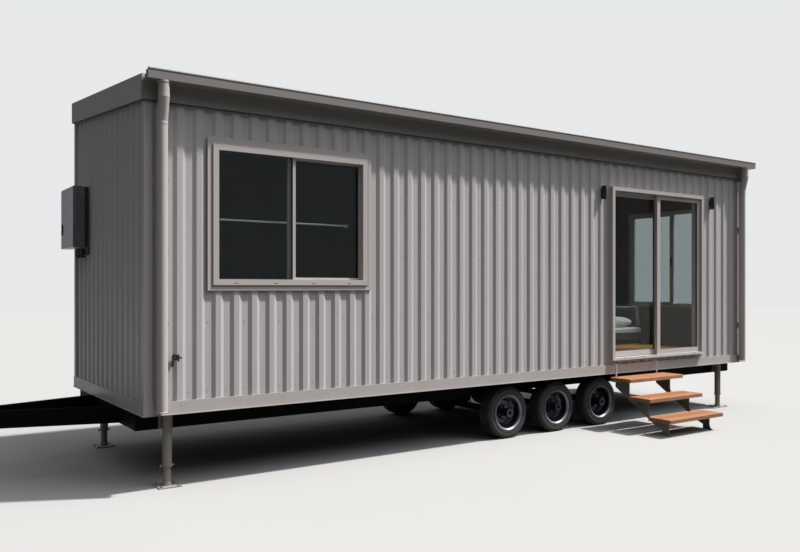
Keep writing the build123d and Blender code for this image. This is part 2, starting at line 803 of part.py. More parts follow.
pipe_stand = heater_gap + heater_tray / 2
with BuildPart() as heater_pipes:
    for share in (0.3, 0.5, 0.7):
        pipe_y = heater_near + heater_width * share
        upright(heater_pipe_radius, -pipe_stand, pipe_y, pipe_turn_z, heater_bottom + trim_sheet)
        upright(valve_radius, -pipe_stand, pipe_y, heater_bottom - heater_pipe_drop / 2 - valve_height / 2,
                heater_bottom - heater_pipe_drop / 2 + valve_height / 2)
        with Locations(at(-pipe_stand / 2, pipe_y, pipe_turn_z)):
            Cylinder(heater_pipe_radius, pipe_stand, rotation=(0, 90, 0))
        with Locations(at(-pipe_stand, pipe_y, pipe_turn_z)):
            Sphere(heater_pipe_radius * 1.3)
keep(heater_pipes, "heater_pipes")

# Garden tap on the front wall: a barrel with a cross handle, its spout turned down to one side
tap_plane = Plane(origin=at(tap_x, 0, tap_z), z_dir=(0, -1, 0))
with BuildPart() as garden_tap:
    with BuildSketch(tap_plane):
        Circle(tap_flange)
    extrude(amount=tap_barrel)
    with BuildSketch(tap_plane):
        Circle(tap_barrel)
    extrude(amount=tap_reach)
    with BuildSketch(tap_plane.offset(tap_reach * 0.45)):
        Circle(tap_flange * 0.85)
    extrude(amount=tap_reach * 0.3)
    with Locations(at(tap_x, -tap_reach - tap_spout / 2, tap_z)):
        Box(tap_handle, tap_spout, tap_spout * 1.2)
        Box(tap_spout * 1.2, tap_spout, tap_handle)
    with BuildLine() as spout_path:
        FilletPolyline(at(tap_x, -tap_reach * 0.6, tap_z),
                       at(tap_x - tap_handle * 0.55, -tap_reach * 0.6, tap_z - tap_spout),
                       at(tap_x - tap_handle * 0.6, -tap_reach * 0.6, tap_z - tap_spout_drop),
                       radius=tap_spout * 1.3)
    with BuildSketch(Plane(origin=at(tap_x, -tap_reach * 0.6, tap_z), z_dir=spout_path.line % 0)):
        Circle(tap_spout)
    sweep(path=spout_path.wires()[0])
    upright(tap_barrel, tap_x - tap_handle * 0.6, -tap_reach * 0.6,
            tap_z - tap_spout_drop - tap_spout, tap_z - tap_spout_drop + tap_spout)
keep(garden_tap, "garden_tap")

# Chassis: side rails in front of and behind the wheel bay
with BuildPart() as side_rails:
    for bay_start, bay_end in ((0, wheel_bay_start), (wheel_bay_end, rail_finish)):
        for y0 in (rail_inset, mirror_y - rail_inset - chassis_bar):
            bar_along_x(bay_start, bay_end, y0, y0 + chassis_bar, rail_bottom, rail_top,
                        chassis_corner)
keep(side_rails, "side_rails")

# Drawbar: two arms from the apex to the end of the frame, and on inside it to the side rails
centre_y = body_width / 2
arm_slope = drawbar_half_spread / drawbar_reach
arm_angle = math.atan(arm_slope)
arm_side = chassis_bar / 2 / math.cos(arm_angle)
cross_inner_near = rail_inset + chassis_bar
cross_inner_far = mirror_y - cross_inner_near
arm_end = (centre_y - cross_inner_near + arm_side) / arm_slope - drawbar_reach
with BuildPart() as drawbar:
    for side in (-1, 1):
        arm_dir = Vector(math.cos(arm_angle), side * math.sin(arm_angle), 0)
        with BuildSketch(Plane(origin=Vector(*at(-drawbar_reach, centre_y, rail_bottom
                                                 + chassis_depth / 2)) - arm_dir * chassis_bar,
                               x_dir=(0, 0, 1), z_dir=arm_dir)):
            RectangleRounded(chassis_depth, chassis_bar, chassis_corner)
        extrude(amount=(arm_end + drawbar_reach) / math.cos(arm_angle) + 2 * chassis_bar)
    block(reach_left, -drawbar_reach, 0, body_width, 0, rail_top, Mode.SUBTRACT)
    block(0, chassis_bar, 0, body_width, 0, rail_top, Mode.SUBTRACT)
    block(0, body_length, -body_width, cross_inner_near, 0, rail_top, Mode.SUBTRACT)
    block(0, body_length, cross_inner_far, 2 * body_width, 0, rail_top, Mode.SUBTRACT)
keep(drawbar, "drawbar")

# Cross members at the ends of both bays, with shallower joists between them
with BuildPart() as cross_members:
    for x0 in (0, wheel_bay_start - chassis_bar, wheel_bay_end, rail_finish - chassis_bar):
        bar_along_y(x0, x0 + chassis_bar, cross_inner_near, cross_inner_far,
                    rail_bottom, rail_top, chassis_corner)
    for bay_start, bay_end in ((arm_end, wheel_bay_start), (wheel_bay_end, rail_finish)):
        joists = int((bay_end - bay_start) // joist_pitch)
        for i in range(1, joists):
            joist_x = bay_start + i * (bay_end - bay_start) / joists
            bar_along_y(joist_x - chassis_bar / 2, joist_x + chassis_bar / 2, cross_inner_near,
                        cross_inner_far, rail_top - joist_depth, rail_top, chassis_corner)
keep(cross_members, "cross_members")

# Rails over the axles, with the plate hangers that carry the spring eyes
seat_z = tyre_radius + axle_beam / 2
pack_top = seat_z + spring_leaf * spring_leaves
eye_z = pack_top - spring_leaf / 2 + spring_rise
hanger_low = eye_z - hanger_drop
hanger_inner = spring_width / 2 + 1.0
hanger_outer = hanger_inner + hanger_plate
with BuildPart() as axle_rails:
    for rail_y in (axle_rail_y, mirror_y - axle_rail_y):
        bar_along_x(wheel_bay_start, wheel_bay_end, rail_y - chassis_bar / 2,
                    rail_y + chassis_bar / 2, rail_bottom, rail_top, chassis_corner)
        for i in range(axle_count + 1):
            hanger_x = first_axle_x + (i - 0.5) * axle_spacing
            start = max(hanger_x - hanger_half, wheel_bay_start)
            end = min(hanger_x + hanger_half, wheel_bay_end)
            block(start, end, rail_y - hanger_outer, rail_y + hanger_outer,
                  rail_bottom - hanger_plate, rail_bottom + 1)
            for side in (-1, 1):
                with BuildSketch(front_view.offset(-(rail_y + side * hanger_inner))):
                    with BuildLine():
                        Polyline((start, rail_bottom), (end, rail_bottom),
                                 (end, eye_z), (end - hanger_drop, hanger_low),
                                 (start + hanger_drop, hanger_low), (start, eye_z), close=True)
                    make_face()
                extrude(amount=-side * hanger_plate)
keep(axle_rails, "axle_rails")

# Tow coupling: a tapering head on a plate, with a ball socket open below and a latch lever on top
head_z = rail_bottom + chassis_depth / 2
ball_x = reach_left + ball_radius + coupling_wall
nose_radius = ball_radius + coupling_wall
with BuildPart() as tow_coupling:
    block(-drawbar_reach - coupling_plate, -drawbar_reach, centre_y - coupling_back_width / 2,
          centre_y + coupling_back_width / 2, rail_bottom, rail_top)
    with BuildSketch(Plane(origin=at(-drawbar_reach, centre_y, head_z), z_dir=(-1, 0, 0))):
        RectangleRounded(coupling_back_width, coupling_back_height, coupling_corner)
    with BuildSketch(Plane(origin=at(ball_x, centre_y, head_z), z_dir=(-1, 0, 0))):
        RectangleRounded(2 * nose_radius, coupling_nose_height, coupling_corner)
    loft()
    with Locations(at(ball_x, centre_y, head_z)):
        Cylinder(nose_radius, coupling_nose_height)
        Sphere(ball_radius, mode=Mode.SUBTRACT)
    upright(ball_radius, ball_x, centre_y, head_z - coupling_nose_height, head_z, Mode.SUBTRACT)
    latch_z = head_z + coupling_back_height / 2
    block(ball_x + nose_radius, ball_x + nose_radius + latch_length, centre_y - latch_width / 2,
          centre_y + latch_width / 2, latch_z, latch_z + latch_thickness)
    block(ball_x + nose_radius + latch_length - 3 * latch_thickness, ball_x + nose_radius + latch_length,
          centre_y - latch_width / 2, centre_y + latch_width / 2, head_z, latch_z + latch_thickness)
    block(ball_x + nose_radius, ball_x + nose_radius + 3 * latch_thickness,
          centre_y - latch_width / 2, centre_y + latch_width / 2, head_z, latch_z + 2 * latch_thickness)
keep(tow_coupling, "tow_coupling")

# Mudguards: a flat guard under the floor over the three wheels of each side
guard_z = 2 * tyre_radius + guard_clearance
with BuildPart() as mudguards:
    for y0, y1 in ((guard_inset, axle_rail_y - chassis_bar / 2),
                   (mirror_y - axle_rail_y + chassis_bar / 2, mirror_y - guard_inset)):
        block(wheel_bay_start, wheel_bay_end, y0, y1, guard_z, guard_z + guard_sheet)
        for x0 in (wheel_bay_start, wheel_bay_end - guard_sheet):
            block(x0, x0 + guard_sheet, y0, y1, guard_z, floor_underside)
keep(mudguards, "mudguards")

# Axles: a square beam with a round stub at each end
beam_start = tyre_outer_y + tyre_width + hub_behind + beam_end_gap
stub_tip = tyre_outer_y + stub_inset
with BuildPart() as axles:
    for axle_x in axle_xs:
        block(axle_x - axle_beam / 2, axle_x + axle_beam / 2, beam_start, mirror_y - beam_start,
              tyre_radius - axle_beam / 2, tyre_radius + axle_beam / 2)
        with Locations(at(axle_x, body_width / 2, tyre_radius)):
            Cylinder(stub_radius, mirror_y - 2 * stub_tip, rotation=(90, 0, 0))
keep(axles, "axles")

# Leaf springs on the beams: three leaves, rolled eyes between the hanger plates, clamp and bolts
with BuildPart() as leaf_springs:
    for axle_x in axle_xs:
        for rail_y in (axle_rail_y, mirror_y - axle_rail_y):
            for i in range(spring_leaves):
                reach = spring_half * (1 - 0.22 * (spring_leaves - 1 - i))
                rise = spring_rise * (reach / spring_half) ** 2
                z0 = seat_z + i * spring_leaf
                with BuildSketch(front_view.offset(-(rail_y - spring_width / 2))):
                    with BuildLine():
                        ThreePointArc((axle_x - reach, z0 + rise), (axle_x, z0),
                                      (axle_x + reach, z0 + rise))
                        Line((axle_x + reach, z0 + rise), (axle_x + reach, z0 + rise + spring_leaf))
                        ThreePointArc((axle_x + reach, z0 + rise + spring_leaf),
                                      (axle_x, z0 + spring_leaf),
                                      (axle_x - reach, z0 + rise + spring_leaf))
                        Line((axle_x - reach, z0 + rise + spring_leaf), (axle_x - reach, z0 + rise))
                    make_face()
                extrude(amount=-spring_width)
            for eye_x in (axle_x - spring_half, axle_x + spring_half):
                with Locations(at(eye_x, rail_y, eye_z)):
                    Cylinder(spring_eye, 2 * hanger_inner, rotation=(90, 0, 0))
            plate_y = spring_width / 2 + 2 * clamp_bolt
            for plate_z in (seat_z - axle_beam - clamp_plate, pack_top):
                block(axle_x - clamp_half, axle_x + clamp_half, rail_y - plate_y, rail_y + plate_y,
                      plate_z, plate_z + clamp_plate)
            for bolt_x in (axle_x - clamp_half + 2 * clamp_bolt, axle_x + clamp_half - 2 * clamp_bolt):
                for bolt_y in (rail_y - plate_y + clamp_bolt, rail_y + plate_y - clamp_bolt):
                    upright(clamp_bolt, bolt_x, bolt_y, seat_z - axle_beam - 2 * clamp_plate,
                            pack_top + clamp_plate)
keep(leaf_springs, "leaf_springs")

# Wheels and tyres: each turns about a stub axle. Sections are radius against distance outwards
hub_bore = stub_radius + hub_running_fit
half = tyre_width / 2
bead = rim_seat_radius
tyre_section = [(bead, -half + 22), (rim_radius + 6, -half + 7), (rim_radius + 24, -half),
                (tyre_radius - 38, -half + 1), (tyre_radius - 16, -half + 9), (tyre_radius - 5, -half + 20),
                (tyre_radius, -half + 36), (tyre_radius, half - 36), (tyre_radius - 5, half - 20),
                (tyre_radius - 16, half - 9), (tyre_radius - 38, half - 1), (rim_radius + 24, half),
                (rim_radius + 6, half - 7), (bead, half - 22)]
dish_out = 18.0
hub_face = 40.0
rim_sheet = 12.0
wheel_section = [(hub_bore, -half - hub_behind), (hub_radius, -half - hub_behind),
                 (hub_radius, -wheel_disc), (bead * 0.4, -wheel_disc),
                 (bead * 0.48, dish_out - wheel_disc), (bead * 0.7, dish_out - wheel_disc),
                 (bead * 0.84, -wheel_disc * 2), (bead - rim_sheet, -wheel_disc * 2),
                 (bead - rim_sheet, -half + 22), (bead, -half + 22), (bead, half - 22),
                 (rim_radius, half - 8), (rim_radius, half - 2), (rim_radius - 6, half - 2),
                 (bead - rim_sheet, half - 22), (bead - rim_sheet, -wheel_disc),
                 (bead * 0.86, -wheel_disc), (bead * 0.72, dish_out), (bead * 0.46, dish_out),
                 (bead * 0.38, 0), (hub_radius, 0), (hub_radius - 4, hub_face),
                 (hub_radius * 0.65, hub_face + 6), (hub_radius * 0.65, hub_face), (hub_bore, hub_face)]
wheel_number = 0
for outward in (-1, 1):
    for axle_x in axle_xs:
        wheel_number += 1
        hub_y = wheel_centre_y if outward < 0 else mirror_y - wheel_centre_y
        spin_plane = Plane(origin=at(axle_x, hub_y, tyre_radius), x_dir=(1, 0, 0),
                           z_dir=(0, outward, 0))
        section_plane = Plane(origin=spin_plane.origin, x_dir=(1, 0, 0),
                              z_dir=(0, 0, -outward))
        with BuildPart() as tyre:
            with BuildSketch(section_plane):
                with BuildLine():
                    Polyline(*tyre_section, close=True)
                make_face()
            revolve(axis=Axis(spin_plane.origin, (0, 1, 0)))
        keep(tyre, f"tyre_{wheel_number}")
        with BuildPart() as wheel:
            with BuildSketch(section_plane):
                with BuildLine():
                    Polyline(*wheel_section, close=True)
                make_face()
            revolve(axis=Axis(spin_plane.origin, (0, 1, 0)))
            with BuildSketch(spin_plane):
                with PolarLocations(bead * 0.59, vent_holes):
                    Circle(vent_hole_radius)
            extrude(amount=2 * dish_out, mode=Mode.SUBTRACT)
        keep(wheel, f"wheel_{wheel_number}")

# Jack legs: an outer tube on a bracket to the side rail, a collar, an inner tube and a foot
leg_xs = [leg_from_end, body_length - leg_right_from_end]
with BuildPart() as jack_legs:
    for leg_x in leg_xs:
        for y, rail_face in ((leg_y, rail_inset), (mirror_y - leg_y, mirror_y - rail_inset)):
            upright(leg_outer_radius, leg_x, y, leg_collar_z, floor_underside)
            upright(leg_outer_radius + leg_collar, leg_x, y, leg_collar_z,
                    leg_collar_z + leg_collar_height)
            upright(leg_inner_radius, leg_x, y, 0, leg_collar_z)
            upright(leg_inner_radius + leg_collar, leg_x, y, 0, leg_socket_height)
            with Locations(at(leg_x, y, leg_foot_plate / 2)):
                Box(leg_foot, leg_foot, leg_foot_plate)
            plate_edge = rail_face + math.copysign(leg_bracket_plate, y - rail_face)
            block(leg_x - leg_bracket_half, leg_x + leg_bracket_half, min(plate_edge, rail_face),
                  max(plate_edge, rail_face), rail_bottom + chassis_corner, rail_top - chassis_corner)
keep(jack_legs, "jack_legs")

# Steps: timber treads on two steel stringers hung from the base trim
for i in range(step_count):
    with BuildPart() as step_tread:
        block(step_left, step_left + step_width, step_fronts[i], step_fronts[i] + step_depth,
              step_tops[i] - step_thickness, step_tops[i])
        fillet(step_tread.edges().group_by(Axis.Z)[-1], step_edge)
    keep(step_tread, f"step_tread_{i + 1}")

tread_unders = [top - step_thickness for top in step_tops]
edge_ys = [front + stringer_setback for front in step_fronts]
hanger_y = step_fronts[0] + step_depth
bar_back = hanger_y + hook_bar
foot_back = edge_ys[-1] + stringer_leg
arch_y = foot_back + stringer_leg
with BuildPart() as step_stringers:
    for x in (step_left + stringer_inset, step_left + step_width - stringer_inset):
        with BuildSketch(end_view.offset(x - stringer_plate / 2)):
            with BuildLine():
                Polyline((0, base_trim_top), (0, base_trim_top + hook_bar),
                         (hanger_y, base_trim_top + hook_bar), (hanger_y, tread_unders[0]),
                         (edge_ys[0], tread_unders[0]))
                for i in range(step_count - 1):
                    under = tread_unders[i + 1]
                    Line((edge_ys[i], tread_unders[i]), (edge_ys[i], under + stringer_throat))
                    RadiusArc((edge_ys[i], under + stringer_throat),
                              (edge_ys[i] - stringer_throat, under), stringer_throat)
                    Line((edge_ys[i] - stringer_throat, under), (edge_ys[i + 1], under))
                Line((edge_ys[-1], tread_unders[-1]), (edge_ys[-1], stringer_foot_flare))
                RadiusArc((edge_ys[-1], stringer_foot_flare),
                          (edge_ys[-1] - stringer_foot_flare, 0), stringer_foot_flare)
                Polyline((edge_ys[-1] - stringer_foot_flare, 0), (foot_back, 0),
                         (foot_back, stringer_arch * 0.6), (arch_y, stringer_arch),
                         (bar_back, stringer_back_z), (bar_back, base_trim_top),
                         (0, base_trim_top))
            make_face()
        extrude(amount=stringer_plate)
        for i in range(step_count):
            block(x - cleat_width / 2, x + cleat_width / 2, edge_ys[i],
                  step_fronts[i] + step_depth, tread_unders[i] - cleat_plate, tread_unders[i])
keep(step_stringers, "step_stringers")

# Daybed in the corner behind the door: a low base on feet, a mattress, a bolster and a pillow
bed_right = body_length - inner_face
bed_left = bed_right - daybed_length
bed_back = body_width - inner_face
bed_front = bed_back - daybed_depth
bed_top = floor_top + daybed_height
with BuildPart() as daybed:
    block(bed_left, bed_right, bed_front, bed_back, bed_top - daybed_rail, bed_top)
    for foot_x in (bed_left, bed_right - daybed_foot):
        for foot_y in (bed_front, bed_back - daybed_foot):
            block(foot_x, foot_x + daybed_foot, foot_y, foot_y + daybed_foot, floor_top, bed_top)
keep(daybed, "daybed")

mattress_top = bed_top + mattress_height
with BuildPart() as daybed_mattress:
    block(bed_left + mattress_inset, bed_right - mattress_inset, bed_front + mattress_inset,
          bed_back - mattress_inset, bed_top, mattress_top)
    fillet(daybed_mattress.edges().filter_by(Axis.Z), mattress_height / 2)
    fillet(daybed_mattress.faces().sort_by(Axis.Z)[-1].edges(), mattress_height / 4)
keep(daybed_mattress, "daybed_mattress")

bolster_right = bed_right - mattress_inset
bolster_left = bolster_right - cushion_thickness
pillow_right = bolster_left - cushion_gap
pillow_front = bed_front + pillow_from_edge
with BuildPart() as daybed_cushion:
    block(bolster_left, bolster_right, bed_front + mattress_inset, bed_back - mattress_inset,
          mattress_top, mattress_top + cushion_height)
    fillet(daybed_cushion.edges().filter_by(Axis.Y), cushion_thickness / 4)
    with BuildPart(mode=Mode.PRIVATE) as pillow:
        block(pillow_right - pillow_length, pillow_right, pillow_front, pillow_front + pillow_width,
              mattress_top, mattress_top + pillow_height)
        fillet(pillow.edges().filter_by(Axis.Z), pillow_height / 2)
        fillet(pillow.faces().sort_by(Axis.Z)[-1].edges(), pillow_height / 2.5)
    add(pillow.part)
keep(daybed_cushion, "daybed_cushion")

for piece in pieces:
    export_step(piece.part, f"parts/{piece.part.label}.step")
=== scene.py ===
"""Looks of the tiny house: finishes, fasteners, glazing, running gear, steps and soft goods.

Lengths are metres. Places are given in the house frame: x from the left end of the body, y from
its front face, z up from the ground. HOUSE.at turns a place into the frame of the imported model.
"""
import itertools
import logging
import math
from collections.abc import Callable, Iterable
from dataclasses import dataclass, field
from enum import Enum

import bmesh
import bpy
from mathutils import Matrix, Vector
from mathutils.bvhtree import BVHTree


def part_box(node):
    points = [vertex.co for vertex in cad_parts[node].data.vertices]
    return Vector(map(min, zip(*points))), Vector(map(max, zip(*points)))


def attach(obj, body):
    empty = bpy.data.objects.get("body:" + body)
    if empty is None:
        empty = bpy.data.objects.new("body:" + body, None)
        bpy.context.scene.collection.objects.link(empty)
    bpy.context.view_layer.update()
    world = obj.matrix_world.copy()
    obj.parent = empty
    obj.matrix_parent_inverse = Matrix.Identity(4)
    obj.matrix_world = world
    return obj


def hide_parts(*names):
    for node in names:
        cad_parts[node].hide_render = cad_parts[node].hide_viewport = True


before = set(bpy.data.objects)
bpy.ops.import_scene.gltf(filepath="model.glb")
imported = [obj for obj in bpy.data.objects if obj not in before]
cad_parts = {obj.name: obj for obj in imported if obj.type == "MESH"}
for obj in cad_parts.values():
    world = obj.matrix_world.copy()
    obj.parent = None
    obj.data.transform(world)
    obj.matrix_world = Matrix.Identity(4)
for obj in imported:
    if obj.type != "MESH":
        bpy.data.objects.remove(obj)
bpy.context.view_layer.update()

log = logging.getLogger("tiny_house")
Colour = tuple[float, float, float]
Place = tuple[float, float, float]
Limits = tuple[float, float, float, float]
Profile = list[tuple[float, float]]
ALONG, FRONT, BACK, UP, DOWN = (1, 0, 0), (0, -1, 0), (0, 1, 0), (0, 0, 1), (0, 0, -1)
FULL_TURN = 2 * math.pi
SHARP_FOLD = math.radians(35)


@dataclass(frozen=True)
class House:
    """Main lines of the body that several assemblies share."""

    origin: Vector = field(default_factory=lambda: Vector((*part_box("front_cladding")[0].xy, 0.0)))
    length: float = 8.4
    width: float = 2.4
    rib_start: float = 0.074
    end_rib_start: float = 0.133
    rib_pitch: float = 0.1658
    rib_crest: float = 0.046
    rib_web: float = 0.031
    rib_depth: float = 0.016
    base_trim_proud: float = 0.008
    fascia_bottom: float = 3.176
    fascia_proud: float = 0.025
    roof_deck: float = 3.35
    roof_pitch: float = math.radians(5.2)
    floor_top: float = 0.788
    inner_face: float = 0.11

    def at(self, x: float, y: float, z: float) -> Vector:
        """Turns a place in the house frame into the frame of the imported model."""
        return self.origin + Vector((x, y, z))

    def box(self, node: str) -> tuple[Vector, Vector]:
        """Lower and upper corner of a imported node, in the house frame."""
        low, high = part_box(node)
        return low - self.origin, high - self.origin

    def rise(self, y: float) -> float:
        """Height that the roof has gained at depth y."""
        return y * math.tan(self.roof_pitch)

    def crest_near(self, x: float) -> float:
        """Middle of the front cladding's crest that is nearest to x."""
        first = self.rib_start + self.rib_web + self.rib_crest / 2
        return first + self.rib_pitch * round((x - first) / self.rib_pitch)

    @property
    def ends(self) -> tuple[tuple[float, int], ...]:
        """The end walls' x, each with its way out."""
        return (0.0, -1), (self.length, 1)

    @property
    def sides(self) -> tuple[tuple[float, int], ...]:
        """The long walls' y, each with its way out."""
        return (0.0, -1), (self.width, 1)


HOUSE = House()


@dataclass(frozen=True)
class Row:
    """Even steps along a line."""

    first: float
    step: float
    number: int

    def places(self) -> list[float]:
        """Where each step falls."""
        return [self.first + k * self.step for k in range(self.number)]


def arithmetic(operation: str, mirrored: bool = False) -> Callable[..., "Wire"]:
    """A method of Wire that adds one Math node, the wire being last where mirrored.

    Args:
        operation: The Math node's operation.
        mirrored: Put the wire after the other value.

    Returns:
        The method.
    """
    def method(self: "Wire", *others: "Wire | float") -> "Wire":
        """One Math node on the wire and these values."""
        values = (*others, self) if mirrored else (self, *others)
        return self.graph.add("ShaderNodeMath", {"operation": operation}, dict(enumerate(values)))
    return method


class Wire:
    """An output socket whose arithmetic adds Math nodes to its tree."""

    __add__ = __radd__ = arithmetic("ADD")
    __sub__ = arithmetic("SUBTRACT")
    __rsub__ = arithmetic("SUBTRACT", mirrored=True)
    __mul__ = __rmul__ = arithmetic("MULTIPLY")
    __truediv__ = arithmetic("DIVIDE")
    __rtruediv__ = arithmetic("DIVIDE", mirrored=True)
    __gt__ = arithmetic("GREATER_THAN")
    __lt__ = arithmetic("LESS_THAN")
    floor = arithmetic("FLOOR")
    fraction = arithmetic("FRACT")
    sine = arithmetic("SINE")

    def __init__(self, graph: "Graph", socket: bpy.types.NodeSocket | None) -> None:
        """Wraps a socket of the graph's tree."""
        self.graph = graph
        self.socket = socket

    def also(self, key: int | str) -> "Wire":
        """Another output of the same node."""
        return Wire(self.graph, Graph.pick(self.socket.node.outputs, key))


class Graph:
    """Adds nodes to a shader or geometry tree and wires them."""

    def __init__(self, tree: bpy.types.NodeTree) -> None:
        """Works on an empty tree."""
        self.tree = tree
        self._here: Wire | None = None

    @classmethod
    def fresh(cls, data: bpy.types.ID) -> "Graph":
        """Works on the emptied tree of a material or world.

        Args:
            data: A material or world.

        Returns:
            A graph on its tree.
        """
        data.use_nodes = True
        data.node_tree.nodes.clear()
        return cls(data.node_tree)

    @staticmethod
    def pick(sockets: bpy.types.bpy_prop_collection, key: int | str) -> bpy.types.NodeSocket:
        """Finds a socket by its place, identifier or name.

        Args:
            sockets: A node's inputs or outputs.
            key: Place, identifier or name.

        Returns:
            The socket, an enabled one where a name is shared.
        """
        if isinstance(key, int):
            return sockets[key]
        named = [s for s in sockets if s.enabled and key in (s.identifier, s.name)]
        return next((s for s in named if s.identifier == key), named[0])

    def add(self, kind: str, settings: dict | None = None, sockets: dict | None = None,
            out: int | str = 0) -> Wire:
        """Adds one node.

        Args:
            kind: The node's type.
            settings: Its own settings, set first. A ramp's stops are under "stops".
            sockets: Values or wires for its inputs, by place, identifier or name.
            out: The output to return.

        Returns:
            The output, empty for a node that has none.
        """
        node = self.tree.nodes.new(kind)
        for key, value in (settings or {}).items():
            if key == "stops":
                ramp = node.color_ramp.elements
                while len(ramp) < len(value):
                    ramp.new(0.5)
                for stop, (position, colour) in zip(ramp, value):
                    stop.position = position
                    stop.color = (*colour, 1.0)
            else:
                setattr(node, key, value)
        for key, value in (sockets or {}).items():
            socket = self.pick(node.inputs, key)
            for item in value if isinstance(value, list) else [value]:
                if isinstance(item, Wire):
                    self.tree.links.new(item.socket, socket)
                elif socket.type == "RGBA":
                    socket.default_value = (*item[:3], 1.0)
                else:
                    socket.default_value = item
        return Wire(self, self.pick(node.outputs, out) if len(node.outputs) else None)

    def put(self, kind: str, out: int | str = 0, **sockets: object) -> Wire:
        """Adds a node without settings, its inputs named with underscores for spaces."""
        return self.add(kind, None, {k.replace("_", " "): v for k, v in sockets.items()}, out)

    def here(self) -> Wire:
        """Object coordinates."""
        if self._here is None:
            self._here = self.put("ShaderNodeTexCoord", "Object")
        return self._here

    def axis(self, name: str, of: Wire | None = None) -> Wire:
        """The X, Y or Z of a vector, or else of the object coordinates."""
        return self.put("ShaderNodeSeparateXYZ", name, Vector=of or self.here())

    def upward(self, low: float, high: float) -> Wire:
        """0 where the normal's Z is low or less, 1 where it is high or more."""
        facing = self.put("ShaderNodeNewGeometry", "Normal")
        return self.remap(self.axis("Z", facing), low, high)

    def noise(self, scale: float, stretch: Place = (1.0, 1.0, 1.0), detail: float = 3.0) -> Wire:
        """Fractal noise of mean one half, stretched along the axes."""
        place = self.put("ShaderNodeMapping", Vector=self.here(), Scale=stretch)
        return self.put("ShaderNodeTexNoise", "Fac", Vector=place, Scale=scale, Detail=detail)

    def remap(self, value: Wire, low: float, high: float, first: float = 0.0,
              last: float = 1.0) -> Wire:
        """Carries low to high onto first to last, held at both ends."""
        return self.put("ShaderNodeMapRange", Value=value, From_Min=low, From_Max=high,
                        To_Min=first, To_Max=last)

    def mix(self, factor: Wire | float, low: Wire | Colour, high: Wire | Colour) -> Wire:
        """Mixes two colours."""
        return self.add("ShaderNodeMix", {"data_type": "RGBA"}, {
            "Factor_Float": factor, "A_Color": low, "B_Color": high}, out="Result_Color")

    def tint(self, colour: Colour, shade: float, factor: Wire, base: Wire | None = None) -> Wire:
        """Goes with the factor from base, or else the colour, to a share of the colour."""
        return self.mix(factor, base or colour, tuple(c * shade for c in colour))

    def bump(self, height: Wire, distance: float, strength: float = 1.0) -> Wire:
        """A normal from a height, full height being distance."""
        return self.put("ShaderNodeBump", Height=height, Distance=distance, Strength=strength)

    def principled(self, **values: Wire | float | Colour) -> Wire:
        """A Principled shader, its sockets named with underscores for spaces.

        Args:
            **values: Values or wires for its sockets.

        Returns:
            The shader.
        """
        names = {"base": "Base Color", "ior": "IOR", "specular": "Specular IOR Level"}
        sockets = {names.get(k, k.replace("_", " ").title()): v for k, v in values.items()}
        return self.add("ShaderNodeBsdfPrincipled", None, sockets)

    def mixed(self, factor: Wire, first: Wire, second: Wire) -> Wire:
        """Mixes two shaders."""
        return self.add("ShaderNodeMixShader", None, {0: factor, 1: first, 2: second})

    def finish(self, shader: Wire) -> None:
        """Sends a shader to the surface."""
        self.put("ShaderNodeOutputMaterial", Surface=shader)

    def surface(self, **values: Wire | float | Colour) -> None:
        """Sends a Principled shader to the surface."""
        self.finish(self.principled(**values))


@dataclass(frozen=True)
class Finish:
    """A finish that becomes one material when it is first used."""

    name: str

    def build(self, graph: Graph) -> None:
        """Builds the nodes of the finish."""
        raise NotImplementedError

    def material(self) -> bpy.types.Material:
        """The material of this finish.

        Returns:
            The material, built when it is first asked for.
        """
        name = f"finish_{self.name}"
        found = bpy.data.materials.get(name)
        if found is None:
            found = bpy.data.materials.new(name)
            self.build(Graph.fresh(found))
        return found


@dataclass(frozen=True)
class SheetPaint(Finish):
    """Baked matt paint on folded or ribbed sheet, with rain streaks and splash dirt at the foot,
    and where asked a painted shade on faces that look upwards.
    """

    colour: Colour
    roughness: float = 0.46
    streak: float = 0.10
    splash: float = 0.16
    painted_top_shade: float = 0.0

    def build(self, graph: Graph) -> None:
        """Builds the nodes of the finish.

        Args:
            graph: The graph of the finish's material.
        """
        broad = graph.noise(0.8)
        runs = graph.remap(graph.noise(1.0, (38.0, 38.0, 0.9), 4.0), 0.35, 0.8)
        low = graph.remap(graph.axis("Z"), 0.60, 1.15, 1.0, 0.0)
        dirt = low * graph.remap(graph.noise(5.0, (1.0, 1.0, 0.5), 5.0), 0.35, 0.75)
        base = graph.tint(self.colour, 1.0 - self.streak, runs)
        base = graph.tint(self.colour, 1.07, broad * 0.35, base)
        soil = tuple(c * k for c, k in zip(self.colour, (0.62, 0.55, 0.46)))
        base = graph.mix(dirt * self.splash, base, soil)
        # Painted shade: faces that look upwards are darkened towards a fifth of the colour.
        if self.painted_top_shade:
            base = graph.tint(self.colour, 0.22, graph.upward(0.2, 0.75) * self.painted_top_shade, base)
        fine = graph.noise(420.0, detail=2.0)
        waves = graph.noise(2.2, (1.0, 1.0, 0.25), 1.0)
        graph.surface(base=base, roughness=self.roughness + 0.10 * (broad - 0.5) + 0.08 * runs,
                      normal=graph.bump(fine * 0.06 + waves, 0.0012))


